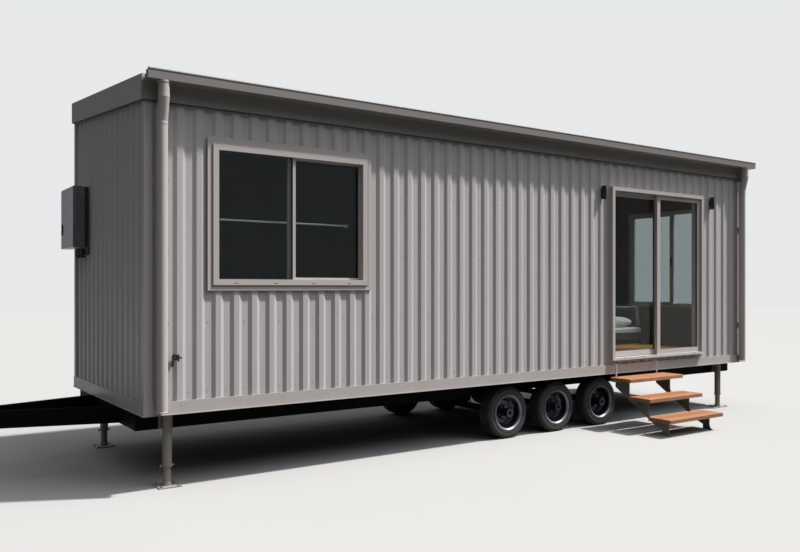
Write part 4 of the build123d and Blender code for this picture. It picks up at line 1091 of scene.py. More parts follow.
@dataclass
class Shell:
    """Walls, floor, roof, cladding and the folded trims, with their screws and rivets."""

    screw_heights: tuple[float, ...] = (0.80, 1.38, 1.97, 2.56, 3.08)
    long_pans: int = 49
    end_pans: int = 13
    purlins: tuple[float, ...] = (0.10, 0.80, 1.50, 2.20)
    roof_crests: Row = Row(0.289, 0.190, 42)
    crest_height: float = 0.027
    corner_rivets: Row = Row(0.86, 0.44, 6)
    long_rivets: Row = Row(0.30, 0.46, 18)
    end_rivets: Row = Row(0.24, 0.48, 5)
    base_rivet_height: float = 0.70
    fascia_rivet_rise: float = 0.02
    barge_rivet_rise: float = 0.035
    far_margin: float = 0.1
    openings: tuple[Limits, ...] = ((0.51, 2.17, 1.62, 2.97), (5.55, 7.41, 0.75, 2.91))
    end_opening: Limits = (0.33, 2.02, 1.30, 2.92)

    def build(self) -> None:
        """Dresses the shell and fixes it."""
        Finishes.CLADDING.dress("front_cladding", "rear_cladding", "left_end_cladding",
                                "right_end_cladding")
        Finishes.TRIM.dress("corner_trims", "base_trim")
        Finishes.CAPPING.dress("barge_trims")
        Finishes.FASCIA.dress("front_fascia")
        Finishes.ROOF.dress("roof_sheet")
        Finishes.LINING.dress("front_wall", "front_wall_over_door", "front_wall_right",
                              "rear_wall", "left_end_wall", "right_end_wall", "roof_panel")
        Finishes.FLOOR.dress("floor_panel")
        Fastener.WALL_SCREW.keep("cladding_screws", self._wall_screws(), Finishes.CLADDING)
        Fastener.ROOF_SCREW.keep("roof_screws", self._roof_screws(), Finishes.ROOF)
        Fastener.RIVET.keep("trim_rivets", self._rivets(), Finishes.TRIM)
        self._closures_and_shadow_line()

    def _closures_and_shadow_line(self) -> None:
        """Foam closures between the ribs and the folded trims along the roof, black, so that they
        also paint the shadow line under the fascia and barge trims.
        """
        low, deep, out, gap = HOUSE.fascia_bottom, 0.009, 0.022, 0.001
        former = Former()
        former.block((0.0, -out, low - deep), (HOUSE.length, -gap, low))
        top = low + HOUSE.rise(HOUSE.width)
        former.block((0.0, HOUSE.width + gap, top - deep), (HOUSE.length, HOUSE.width + out, top))
        for a, b in ((-out, -gap), (HOUSE.length + gap, HOUSE.length + out)):
            former.block((a, 0.0, low - deep), (b, HOUSE.width, low), sloped=True)
        former.keep("foam_closures_and_shadow_line", Finishes.SEAL, smooth=False)

    def _wall_screws(self) -> Points:
        """Screws in the pans of the cladding, clear of the openings.

        Returns:
            Where they stand.
        """
        points = Points()
        rib = HOUSE.rib_crest + 2 * HOUSE.rib_web
        first = rib + (HOUSE.rib_pitch - rib) / 2
        for row, z in enumerate(self.screw_heights):
            step = 1 if row in (0, len(self.screw_heights) - 1) else 2
            for i in range(0, self.long_pans, step):
                x = HOUSE.rib_start + first + i * HOUSE.rib_pitch
                if not any(a < x < b and c < z < d for a, b, c, d in self.openings):
                    points.add((x, HOUSE.rib_depth, z), FRONT)
                points.add((x, HOUSE.width - HOUSE.rib_depth, z), BACK)
            for i in range(0, self.end_pans, step):
                y = HOUSE.end_rib_start + first + i * HOUSE.rib_pitch
                if y > HOUSE.width - self.far_margin:
                    continue
                points.add((HOUSE.rib_depth, y, z), (-1, 0, 0))
                a, b, c, d = self.end_opening
                if not (a < y < b and c < z < d):
                    points.add((HOUSE.length - HOUSE.rib_depth, y, z), ALONG)
        return points

    def _roof_screws(self) -> Points:
        """Screws on the crests of the roof sheet over each purlin.

        Returns:
            Where they stand.
        """
        points = Points()
        slope = HOUSE.roof_pitch
        for y in self.purlins:
            z = HOUSE.roof_deck + HOUSE.rise(y) + self.crest_height / math.cos(slope)
            points.grid(self.roof_crests.places(), (y,), (z,),
                        (0.0, -math.sin(slope), math.cos(slope)))
        return points

    def _rivets(self) -> Points:
        """Rivets along the corner trims, base trim, fascia and barge trims.

        Returns:
            Where they stand.
        """
        points = Points()
        sheet, inset = 0.004, 0.035
        for z in self.corner_rivets.places():
            for (x, out_x), (y, out_y) in itertools.product(HOUSE.ends, HOUSE.sides):
                points.add((x - out_x * inset, y + out_y * sheet, z), (0, out_y, 0))
                points.add((x + out_x * sheet, y - out_y * inset, z), (out_x, 0, 0))
        proud, low = HOUSE.base_trim_proud, self.base_rivet_height
        for x in self.long_rivets.places():
            points.add((x, -proud, low), FRONT)
            points.add((x, HOUSE.width + proud, low), BACK)
            points.add((x, -HOUSE.fascia_proud, HOUSE.fascia_bottom + self.fascia_rivet_rise),
                       FRONT)
        for y in self.end_rivets.places():
            high = HOUSE.fascia_bottom + HOUSE.rise(y) + self.barge_rivet_rise
            for x, out in HOUSE.ends:
                points.add((x + out * proud, y, low), (out, 0, 0))
                points.add((x + out * HOUSE.fascia_proud, y, high), (out, 0, 0))
        return points


@dataclass
class RainGoods:
    """Gutter with its straps, and the downpipes with their joints."""

    strap: Place = (0.022, 0.112, 0.0025)
    straps: int = 10
    strap_start: float = 0.2
    strap_y: float = -0.085
    strap_drop: float = 0.014
    strap_span: float = 8.0
    pipe_radius: float = 0.045
    pipe_inset: float = 0.14
    pipe_y: float = -0.058
    joints: tuple[tuple[float, float], ...] = ((-0.100, 3.200), (-0.058, 2.990))

    def build(self) -> None:
        """Dresses the rain goods and adds what joins them."""
        Finishes.GUTTER.dress("gutter")
        Finishes.TRIM.dress("downpipes")
        top = HOUSE.box("gutter")[1].z - self.strap_drop
        SlatTool.keep("gutter_straps", Finishes.GUTTER, count=self.straps, size=self.strap,
                      first=HOUSE.at(self.strap_start, self.strap_y, top),
                      step=(self.strap_span / (self.straps - 1), 0.0, 0.0))
        rings, r, foot = Former(), self.pipe_radius, HOUSE.box("downpipes")[0].z
        band = [(-0.012, r - 0.001), (-0.010, r + 0.0018), (0.010, r + 0.0018),
                (0.012, r - 0.001)]
        shoe = [(0.001, r - 0.004), (0.0, r), (0.005, r + 0.003), (0.010, r), (0.010, r - 0.003)]
        for end in (self.pipe_inset, HOUSE.length - self.pipe_inset):
            x = HOUSE.crest_near(end)
            for y, z in self.joints:
                rings.turned((x, y, z), UP, band, 32, ring=True)
            rings.turned((x, self.pipe_y, foot), UP, shoe, 32, ring=True)
        rings.keep("pipe_joints", Finishes.TRIM)


@dataclass
class Pane:
    """One pane: limits along its wall, in height, and its front face's depth from the wall."""

    start: float
    end: float
    low: float
    high: float
    depth: float
    glass: float = 0.008
    seal: tuple[float, float] = (0.007, 0.004)

    def seals(self, name: str, body: str = "house", wall: str = "front") -> None:
        """Frames the pane with a black seal outside and one on the room side.

        Args:
            name: The outer seal's name.
            body: The body that both ride on.
            wall: The wall that the pane is in, front or right.
        """
        bar, thick = self.seal
        middle, height = (self.start + self.end) / 2, (self.low + self.high) / 2
        for end, step in (("", -thick / 2), ("_inside", self.glass + thick / 2)):
            off = self.depth + step
            place = (middle, off) if wall == "front" else (HOUSE.length - off, middle)
            SealTool.keep(f"{name}{end}", Finishes.SEAL, body, centre=HOUSE.at(*place, height),
                          bar=bar, depth=thick, width=self.end - self.start - bar,
                          height=self.high - self.low - bar,
                          turn=0.0 if wall == "front" else math.pi / 2)


@dataclass
class Windows:
    """Both windows: frames, panes, seals, drain slots, latches and the curtain rod."""

    bar: float = 0.050
    sash: float = 0.018
    mullion: float = 0.028
    front: Limits = (0.575, 2.110, 1.688, 2.882)
    end: Limits = (0.400, 1.950, 1.370, 2.830)
    first_depth: float = 0.010
    second_depth: float = 0.044
    rod_ends: tuple[float, float] = (0.605, 1.985)
    rod_inset: float = 0.040
    rod_place: tuple[float, float] = (0.140, 2.256)
    rod_radius: float = 0.0085
    slot: Place = (0.032, 0.0012, 0.005)
    slot_proud: float = 0.0221
    front_slots: Row = Row(0.78, 0.375, 4)
    end_slots: Row = Row(0.60, 0.385, 4)
    slot_heights: tuple[float, float] = (1.703, 1.385)

    def build(self) -> None:
        """Dresses the windows and fits them out."""
        Finishes.WINDOW_BAR.dress("front_window_frame", "end_window_frame")
        Finishes.WINDOW_GLASS.dress("front_window_glass", "end_window_glass")
        for wall, limits in (("front", self.front), ("right", self.end)):
            for kind, pane in zip(("fixed", "sash"), self.panes(limits)):
                pane.seals(f"{wall}_{kind}_seal", wall=wall)
        self._slots()
        self._latches()
        self._rod()

    def panes(self, limits: Limits) -> tuple[Pane, Pane]:
        """The fixed and the sliding pane of a window.

        Args:
            limits: The frame's start and end along its wall, then its foot and head.

        Returns:
            Both panes.
        """
        start, end, low, high = limits
        middle, bar, sash = (start + end) / 2, self.bar, self.sash
        fixed = Pane(start + bar, middle - self.mullion / 2, low + bar, high - bar,
                     self.first_depth)
        slide = Pane(middle + sash, end - bar - sash, low + bar + sash, high - bar - sash,
                     self.second_depth)
        return fixed, slide

    def _slots(self) -> None:
        """Drain slots in the lower bars, as black slats on the bars' face: painted shade for the
        slots' insides.
        """
        long, thin, tall = self.slot
        row, height = self.front_slots, self.slot_heights[0]
        SlatTool.keep("front_drain_slots", Finishes.SEAL, count=row.number,
                      first=HOUSE.at(row.first, -self.slot_proud, height),
                      step=(row.step, 0.0, 0.0), size=(long, thin, tall))
        row, height = self.end_slots, self.slot_heights[1]
        SlatTool.keep("end_drain_slots", Finishes.SEAL, count=row.number,
                      first=HOUSE.at(HOUSE.length + self.slot_proud, row.first, height),
                      step=(0.0, row.step, 0.0), size=(thin, long, tall))

    def _latches(self) -> None:
        """A latch on the meeting stile of each sash, on the room side."""
        former, wall = Former(), HOUSE.length
        x, y = ((limits[0] + limits[1]) / 2 - 0.012 for limits in (self.front, self.end))
        former.block((x - 0.012, 0.060, 2.20), (x + 0.012, 0.070, 2.32), 0.002)
        former.block((x - 0.007, 0.068, 2.235), (x + 0.007, 0.086, 2.285), 0.003)
        former.block((wall - 0.070, y - 0.012, 2.00), (wall - 0.062, y + 0.012, 2.12), 0.002)
        former.block((wall - 0.086, y - 0.007, 2.035), (wall - 0.068, y + 0.007, 2.085), 0.003)
        former.keep("window_latches", Finishes.DARK_PLASTIC)

    def _rod(self) -> None:
        """A thin curtain rod across the front window, inside the room, on two brackets."""
        rod = bpy.data.meshes.new("curtain_rod")
        rod.from_pydata([tuple(HOUSE.at(x, *self.rod_place)) for x in self.rod_ends],
                        [(0, 1)], [])
        BeadTool.keep("curtain_rod", Finishes.SATIN_WHITE, start=rod, radius=self.rod_radius,
                      sides=16)
        brackets = Former()
        for x in (self.rod_ends[0] + self.rod_inset, self.rod_ends[1] - self.rod_inset):
            brackets.block((x - 0.006, 0.108, 2.235), (x + 0.006, 0.133, 2.247), 0.0015)
            brackets.turned((x, *self.rod_place), ALONG, [
                (-0.007, 0.011), (-0.005, 0.013), (0.005, 0.013), (0.007, 0.011)], 16)
        brackets.keep("rod_brackets", Finishes.SATIN_WHITE)


@dataclass
class SlidingDoor:
    """Door frame and leaves: seals, the ribbed nose, drain slots and the lock."""

    moving: str = "sliding_door"
    left: float = 5.572
    right: float = 7.381
    proud: float = 0.050
    nose: float = 0.008
    leaf: float = 0.036
    lock_height: float = 1.60
    lock_inset: float = 0.030
    glass_depth: float = 0.014

    def build(self) -> None:
        """Dresses the door and fits it out."""
        Finishes.DOOR_BAR.dress("door_frame", "door_fixed_leaf", "door_sliding_leaf")
        Finishes.DOOR_GLASS.dress("door_fixed_glass", "door_sliding_glass")
        for node, body in (("door_fixed_glass", "house"), ("door_sliding_glass", self.moving)):
            self._pane(node).seals(f"{node}_seal", body)
        self._sill()
        self._lock()

    def _pane(self, node: str) -> Pane:
        """The limits of a leaf's glass in the house frame."""
        low, high = HOUSE.box(node)
        return Pane(low.x, high.x, low.z, high.z, low.y)

    def _sill(self) -> None:
        """Fine ribs on the nose of the sill, and drain slots under it as black slats: painted shade
        for the slots' insides.
        """
        middle, top = (self.left + self.right) / 2, HOUSE.floor_top
        SlatTool.keep("sill_ribs", Finishes.DOOR_BAR, step=(0.0, 0.004, 0.0), count=2,
                      first=HOUSE.at(middle, -self.proud - self.nose + 0.003, top + 0.0155),
                      size=(self.right - self.left - 0.012, 0.0020, 0.0022))
        SlatTool.keep("door_drain_slots", Finishes.SEAL, step=(0.345, 0.0, 0.0), count=5,
                      first=HOUSE.at(self.left + 0.22, -self.proud - 0.0003, top + 0.0225),
                      size=(0.034, 0.0012, 0.005))

    def _lock(self) -> None:
        """A key cylinder under the pull, on both faces of the sliding leaf."""
        x = HOUSE.box("door_sliding_leaf")[0].x + self.lock_inset
        front = self._pane("door_sliding_glass").depth - self.glass_depth
        points = Points()
        points.add((x, front, self.lock_height), FRONT)
        points.add((x, front + self.leaf, self.lock_height), BACK)
        Fastener.LOCK.keep("door_lock", points, Finishes.ZINC, self.moving)


@dataclass
class WallFittings:
    """Lamps, water heater with its pipes, and the garden tap."""

    lamps: tuple[float, float] = (5.45, 7.61)
    lamp_radius: float = 0.027
    lamp_y: float = -0.035
    lamp_low: float = 2.724
    lamp_high: float = 2.874
    heater_low: float = 2.060
    heater_high: float = 2.666
    vent_y: tuple[float, float] = (2.172, 2.268)
    vent_z: tuple[float, float] = (2.198, 2.310)
    louvres: int = 8
    louvre_step: float = 0.0132
    cover_screw_x: float = -0.080
    cover_screws: tuple[float, float] = (0.05, 0.06)
    pipe_middle: float = 0.016
    pipe_shares: tuple[float, ...] = (0.3, 0.5, 0.7)
    union_drops: tuple[float, float] = (0.024, 0.060)

    def build(self) -> None:
        """Dresses the fittings and adds their small parts."""
        Finishes.LAMP.dress("wall_lamps")
        Finishes.HEATER.dress("water_heater")
        Finishes.DARK_PLASTIC.dress("heater_pipes")
        Finishes.TAP.dress("garden_tap")
        self._lamps()
        self._vent()
        self._heater_fixings()

    def _lamps(self) -> None:
        """Lenses with raised rims at both ends of each lamp."""
        lenses, rims, r = Former(), Former(), self.lamp_radius
        lens = [(-0.001, 0.0), (-0.001, r - 0.005), (0.0008, r - 0.005), (0.0025, 0.0)]
        rim = [(-0.002, r - 0.005), (0.004, r - 0.004), (0.004, r - 0.0008), (-0.002, r - 0.0005)]
        for near in self.lamps:
            for z, way in ((self.lamp_low, DOWN), (self.lamp_high, UP)):
                centre = (HOUSE.crest_near(near), self.lamp_y, z)
                lenses.turned(centre, way, lens, 28)
                rims.turned(centre, way, rim, 28, ring=True)
        lenses.keep("lamp_lenses", Finishes.LENS)
        rims.keep("lamp_rims", Finishes.LAMP)

    def _vent(self) -> None:
        """Louvres and a dark back in the heater's exhaust recess."""
        front = HOUSE.box("water_heater")[0].x
        (left, right), (low, high) = self.vent_y, self.vent_z
        SlatTool.keep("heater_louvres", Finishes.DARK_PLASTIC, count=self.louvres,
                      first=HOUSE.at(front + 0.010, (left + right) / 2, low + 0.010),
                      step=(0.0, 0.0, self.louvre_step), turn=(0.0, math.radians(35), 0.0),
                      size=(0.015, right - left - 0.001, 0.002))
        back, play, cheek = Former(), 0.0005, 0.004
        back.block((front + 0.0215, left + play, low + play),
                   (front + 0.0262, right - play, high - play), 0.001)
        for y in (left, right - cheek):
            back.block((front - 0.0008, y, low), (front + 0.024, y + cheek, high), 0.0006)
        back.keep("heater_vent_box", Finishes.DARK_PLASTIC)

    def _heater_fixings(self) -> None:
        """Screws of the cover, and a hexagon above and below on each valve."""
        low, high = HOUSE.box("water_heater")
        screws, nuts = Points(), Points()
        foot, head = self.cover_screws
        heights = (self.heater_low + foot, self.heater_high - head)
        for y, way in ((low.y, FRONT), (high.y, BACK)):
            screws.grid((self.cover_screw_x,), (y,), heights, way)
        Fastener.PAN_SCREW.keep("heater_screws", screws, Finishes.ZINC)
        pipes = HOUSE.box("heater_pipes")[0].x + self.pipe_middle
        for share in self.pipe_shares:
            y = low.y + (high.y - low.y) * share
            for drop, way in zip(self.union_drops, (UP, DOWN)):
                nuts.add((pipes, y, self.heater_low - drop), way)
        Fastener.PIPE_UNION.keep("pipe_unions", nuts, Finishes.TAP)


@dataclass
class Trailer:
    """Chassis, drawbar, coupling, axles and springs with their bolts."""

    axles: tuple[float, ...] = (4.03, 4.78, 5.53)
    spring_lines: tuple[float, ...] = (0.425, 1.975)
    eye_reach: float = 0.330
    eye_height: float = 0.405
    hanger_half: float = 0.039
    clamp_reach: tuple[float, float] = (0.038, 0.036)
    clamp_height: float = 0.349
    coupling_x: float = -1.428
    coupling_half: float = 0.034
    coupling_heights: tuple[float, float] = (0.500, 0.602)

    def build(self) -> None:
        """Dresses the trailer and bolts it together."""
        Finishes.CHASSIS.dress("side_rails", "cross_members", "axle_rails", "drawbar",
                               "tow_coupling", "mudguards", "axles")
        Finishes.SPRING.dress("leaf_springs")
        bolts, nuts, (ahead, aside) = Points(), Points(), self.clamp_reach
        for axle, line in itertools.product(self.axles, self.spring_lines):
            eyes = (axle - self.eye_reach, axle + self.eye_reach)
            bolts.grid(eyes, (line - self.hanger_half,), (self.eye_height,), FRONT)
            nuts.grid(eyes, (line + self.hanger_half,), (self.eye_height,), BACK)
            nuts.grid((axle - ahead, axle + ahead), (line - aside, line + aside),
                      (self.clamp_height,), UP)
        middle, half = HOUSE.width / 2, self.coupling_half
        bolts.grid((self.coupling_x,), (middle - half, middle + half), self.coupling_heights,
                   (-1, 0, 0))
        Fastener.BOLT.keep("chassis_bolts", bolts, Finishes.ZINC)
        Fastener.NUT.keep("chassis_nuts", nuts, Finishes.ZINC)


@dataclass
class RoadWheels:
    """Six wheels: a tyre with its tread and sidewall, wheel nuts, hub cap and valve."""

    radius: float = 0.285
    width: float = 0.190
    bead: float = 0.178
    groove: float = 0.007
    blocks: int = 66
    nut_circle: float = 0.058
    nuts: int = 5
    valve_reach: float = 0.151
    valve_out: float = 0.010

    def build(self) -> None:
        """Fits out each wheel on its own body."""
        for number in range(1, 7):
            low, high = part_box(f"tyre_{number}")
            centre = (low + high) / 2 - HOUSE.origin
            out = FRONT if number <= 3 else BACK
            Finishes.RIM.dress(f"wheel_{number}")
            self._tyre(number, centre)
            self._lip(number, centre, out)
            self._hub(number, centre, out)

    def _tyre(self, number: int, centre: Vector) -> None:
        """The carcass with moulded rings, and its tread blocks.

        Args:
            number: The wheel's number.
            centre: Its middle, in the house frame.
        """
        half, r, bead = self.width / 2, self.radius, self.bead
        inner = r - self.groove
        side = [(half - a, bead + b) for a, b in (
            (0.022, 0.0), (0.007, 0.022), (0.003, 0.030), (0.0015, 0.034), (0.0015, 0.039),
            (0.003, 0.042), (0.002, 0.062), (0.0005, 0.066), (0.0005, 0.070), (0.004, 0.074))]
        shoulder = [(half - a, inner - b)
                    for a, b in ((0.010, 0.012), (0.022, 0.003), (0.036, 0.0))]
        grooves = [(half - 0.040 - 0.0135 * k, inner - (0.0 if k % 2 else 0.0015))
                   for k in range(1, 8)]
        top = side + shoulder + grooves
        former = Former()
        former.turned(centre, BACK, top + [(-a, b) for a, b in reversed(top)], 88, ring=True)
        carcass = former.mesh(f"tyre_carcass_{number}")
        mesh = TreadTool.run(f"tyre_{number}_dressed", Finishes.TYRE, carcass,
                             centre=HOUSE.at(*centre), radius=r - 0.0003,
                             count=self.blocks, length=0.0195, depth=self.groove + 0.002,
                             width=0.0295, shoulder=0.0165)
        keep_piece(f"dressed_tyre_{number}", mesh, f"road_wheel_{number}",
                   replaced=(f"tyre_{number}",))

    def _lip(self, number: int, centre: Vector, out: Place) -> None:
        """The rolled edge round the rim's open side, in a pale paint that is a painted highlight.

        Args:
            number: The wheel's number.
            centre: Its middle, in the house frame.
            out: The way that its open side faces.
        """
        former = Former()
        former.turned(centre, out, [
            (0.0795, 0.1762), (0.0803, 0.1742), (0.0818, 0.1749), (0.0925, 0.1873),
            (0.0940, 0.1890), (0.0944, 0.1915), (0.0944, 0.1945), (0.0938, 0.1957),
            (0.0928, 0.1958), (0.0928, 0.1895)], 88, ring=True)
        former.keep(f"rim_lip_{number}", Finishes.RIM_LIP_HIGHLIGHT, f"road_wheel_{number}")

    def _hub(self, number: int, centre: Vector, out: Place) -> None:
        """Wheel nuts, a hub cap and a valve.

        Args:
            number: The wheel's number.
            centre: Its middle, in the house frame.
            out: The way that its open side faces.
        """
        body = f"road_wheel_{number}"
        points = Points()
        for k in range(self.nuts):
            angle = FULL_TURN * k / self.nuts + math.pi / 2
            points.add((centre.x + self.nut_circle * math.cos(angle), centre.y,
                        centre.z + self.nut_circle * math.sin(angle)), out)
        Fastener.WHEEL_NUT.keep(f"wheel_nuts_{number}", points, Finishes.RIM, body)
        cap = Former()
        cap.turned(centre, out, [
            (0.0405, 0.0), (0.0405, 0.033), (0.048, 0.0335), (0.050, 0.031), (0.058, 0.029),
            (0.064, 0.022), (0.067, 0.0)], 28)
        valve = (centre.x + self.valve_reach, centre.y + out[1] * self.valve_out, centre.z)
        cap.turned(valve, out, [
            (-0.016, 0.004), (0.018, 0.004), (0.019, 0.005), (0.028, 0.005), (0.029, 0.0)], 12)
        cap.keep(f"hub_cap_{number}", Finishes.CHASSIS, body)


@dataclass
class JackLegs:
    """The four legs: bolts of their plates, locking pins and weld beads at the feet."""

    xs: tuple[float, float] = (0.25, 8.05)
    ys: tuple[float, float] = (0.19, 2.21)
    bolt_reach: float = 0.072
    plate_top: float = 0.010
    pin_height: float = 0.176
    pull_reach: float = 0.058
    pull_height: float = 0.160
    weld_height: float = 0.0345

    def build(self) -> None:
        """Dresses the legs and adds their small parts."""
        Finishes.LEG.dress("jack_legs")
        bolts, pins, reach = Points(), Former(), self.bolt_reach
        pin = [(-0.060, 0.0), (-0.060, 0.007), (0.060, 0.007), (0.060, 0.0)]
        pull = [(0.0018 * math.cos(a), 0.016 + 0.0018 * math.sin(a))
                for a in (k * math.pi / 4 for k in range(8))]
        weld = [(-0.003, 0.0365), (0.0005, 0.0365), (0.004, 0.0325), (0.004, 0.031),
                (-0.003, 0.031)]
        for y, x in itertools.product(self.ys, self.xs):
            bolts.grid((x - reach, x + reach), (y - reach, y + reach), (self.plate_top,), UP)
            pins.turned((x, y, self.pin_height), ALONG, pin, 14)
            pins.turned((x - self.pull_reach, y, self.pull_height), ALONG, pull, 24, ring=True)
            pins.turned((x, y, self.weld_height), UP, weld, 32, ring=True)
        Fastener.BOLT.keep("foot_bolts", bolts, Finishes.ZINC)
        pins.keep("locking_pins", Finishes.LEG)


@dataclass
class Steps:
    """Treads and stringers, screwed together from below and bolted to the base trim."""

    lines: tuple[float, float] = (5.590, 6.350)
    fronts: tuple[float, ...] = (-0.385, -0.657, -0.929)
    tops: tuple[float, ...] = (0.600, 0.400, 0.200)
    screw_reach: float = 0.0125
    screw_rows: tuple[float, float] = (0.145, 0.260)
    tread_depth: float = 0.047
    bolt_place: tuple[float, float] = (-0.090, 0.700)

    def build(self) -> None:
        """Dresses the steps and fixes them."""
        Finishes.TREAD.dress("step_tread_1", "step_tread_2", "step_tread_3")
        Finishes.STRINGER.dress("step_stringers")
        points, reach = Points(), self.screw_reach
        for front, top in zip(self.fronts, self.tops):
            rows = [front + row for row in self.screw_rows]
            for x in self.lines:
                points.grid((x - reach, x + reach), rows, (top - self.tread_depth,), DOWN)
        for x in self.lines:
            points.add((x, *self.bolt_place), FRONT)
        Fastener.PAN_SCREW.keep("tread_screws", points, Finishes.ZINC)


@dataclass
class Pad:
    """A stuffed pad: a rounded block, swollen by a cloth simulation and edged with piping."""

    name: str
    low: Place
    high: Place
    thin: str
    finish: Finishes
    swell: float
    voxel: float
    fill: float
    replaced: str
    slot: str
    tilt: float = 0.0
    pinch: float = 0.0
    piping: Finishes | None = None
    piping_radius: float = 0.0056
    pressure: float = 4.0
    frames: int = 20
    seam_points: int = 160

    def build(self) -> None:
        """Makes the pad and its piping."""
        size = Vector(self.high) - Vector(self.low)
        inner = [s / 2 - self.swell * 0.8 for s in size]
        former = Former()
        former.block(tuple(-i for i in inner), tuple(inner), min(inner) * 0.55)
        mesh = former.mesh(f"{self.name}_core")
        mesh.transform(Matrix.Translation(-HOUSE.origin))
        mesh = self._remeshed(mesh)
        mesh = self._swollen(mesh)
        self._pinched(mesh, inner)
        seams = [self._seam(mesh, inner, side) for side in (-1, 1)] if self.piping else []
        place = self._place(size)
        for item in (mesh, *seams):
            item.transform(place)
            self._held(item)
        mesh.materials.clear()
        mesh.materials.append(self.finish.value.material())
        pad = keep_piece(self.name, mesh, replaced=(self.replaced,))
        smooth = pad.modifiers.new("smooth", "SUBSURF")
        smooth.levels = smooth.render_levels = 1
        for side, seam in zip(("back", "front"), seams):
            BeadTool.keep(f"{self.name}_{side}_piping", self.piping, start=seam,
                          radius=self.piping_radius, sides=10)

    def _place(self, size: Vector) -> Matrix:
        """From the pad's own axes to its place, tilted about its lower far edge.

        Args:
            size: The pad's size.

        Returns:
            The matrix.
        """
        middle = HOUSE.at(*((Vector(self.low) + Vector(self.high)) / 2))
        foot = Matrix.Translation(Vector((size.x / 2, 0.0, -size.z / 2)))
        turn = foot @ Matrix.Rotation(math.radians(self.tilt), 4, "Y") @ foot.inverted()
        return Matrix.Translation(middle) @ turn

    def _held(self, mesh: bpy.types.Mesh) -> None:
        """Flattens what would sink into the surface below or the wall beside.

        Args:
            mesh: The pad's mesh or a seam, in its place.
        """
        rest = HOUSE.at(*self.low).z + 0.0005
        wall = HOUSE.at(HOUSE.length - HOUSE.inner_face, 0, 0).x - 0.001
        for vertex in mesh.vertices:
            vertex.co.z = max(vertex.co.z, rest)
            vertex.co.x = min(vertex.co.x, wall)

    def _remeshed(self, mesh: bpy.types.Mesh) -> bpy.types.Mesh:
        """The same form in even small faces.

        Args:
            mesh: The rounded block.

        Returns:
            The new mesh.
        """
        holder = linked("core", mesh)
        remesh = holder.modifiers.new("remesh", "REMESH")
        remesh.mode = "VOXEL"
        remesh.voxel_size = self.voxel
        return evaluated(holder)

    def _swollen(self, mesh: bpy.types.Mesh) -> bpy.types.Mesh:
        """The form blown up by a cloth simulation, no point moving past the swell.

        Args:
            mesh: The rounded block in even faces.

        Returns:
            The swollen mesh.
        """
        start = [v.co.copy() for v in mesh.vertices]
        holder = linked("swollen", mesh)
        settings = holder.modifiers.new("cloth", "CLOTH").settings
        settings.use_pressure = True
        settings.uniform_pressure_force = self.pressure
        settings.quality = 4
        settings.effector_weights.gravity = 0.0
        for step in range(1, self.frames + 1):
            bpy.context.scene.frame_set(step)
        made = evaluated(holder)
        bpy.context.scene.frame_set(1)
        for vertex, before in zip(made.vertices, start):
            moved = vertex.co - before
            if moved.length > self.swell:
                vertex.co = before + moved * (self.swell / moved.length)
        return made

    def _axes(self) -> tuple[int, int, int]:
        """The two wide axes and the thin one."""
        thin = "XYZ".index(self.thin)
        return *(i for i in range(3) if i != thin), thin

    def _pinched(self, mesh: bpy.types.Mesh, inner: list[float]) -> None:
        """Thins the pad towards its edges and pulls in its sides between the corners.

        Args:
            mesh: The pad's mesh.
            inner: Half sizes of its block.
        """
        if not self.pinch:
            return
        u, v, thin = self._axes()
        for vertex in mesh.vertices:
            a, b = (max(-1.0, min(1.0, vertex.co[i] / (inner[i] + self.swell))) for i in (u, v))
            crown = ((1 - abs(a) ** 3) * (1 - abs(b) ** 3)) ** 0.5
            vertex.co[thin] *= 1 - self.pinch * (1 - crown)
            vertex.co[u] *= 1 - 0.07 * self.pinch * (1 - b * b)
            vertex.co[v] *= 1 - 0.07 * self.pinch * (1 - a * a)

    def _seam(self, mesh: bpy.types.Mesh, inner: list[float], side: int) -> bpy.types.Mesh:
        """A closed line round one face of the pad, laid on its surface.

        Args:
            mesh: The pad's mesh.
            inner: Half sizes of its block.
            side: -1 for the back and 1 for the front.

        Returns:
            The line as loose edges.
        """
        form = bmesh.new()
        form.from_mesh(mesh)
        tree = BVHTree.FromBMesh(form)
        form.free()
        u, v, thin = self._axes()
        line = []
        for step in range(self.seam_points):
            angle = FULL_TURN * step / self.seam_points
            c, d = math.cos(angle), math.sin(angle)
            reach = (abs(c) ** 8 + abs(d) ** 8) ** (-1 / 8)
            start = Vector((0.0, 0.0, 0.0))
            start[u], start[v] = inner[u] * c * reach * 1.2, inner[v] * d * reach * 1.2
            start[thin] = side * inner[thin] * 0.78
            where, normal, _, _ = tree.find_nearest(start)
            line.append(tuple(where + normal * 0.0015))
        made = bpy.data.meshes.new(f"{self.name}_seam")
        loop = [(i, (i + 1) % self.seam_points) for i in range(self.seam_points)]
        made.from_pydata(line, loop, [])
        return made


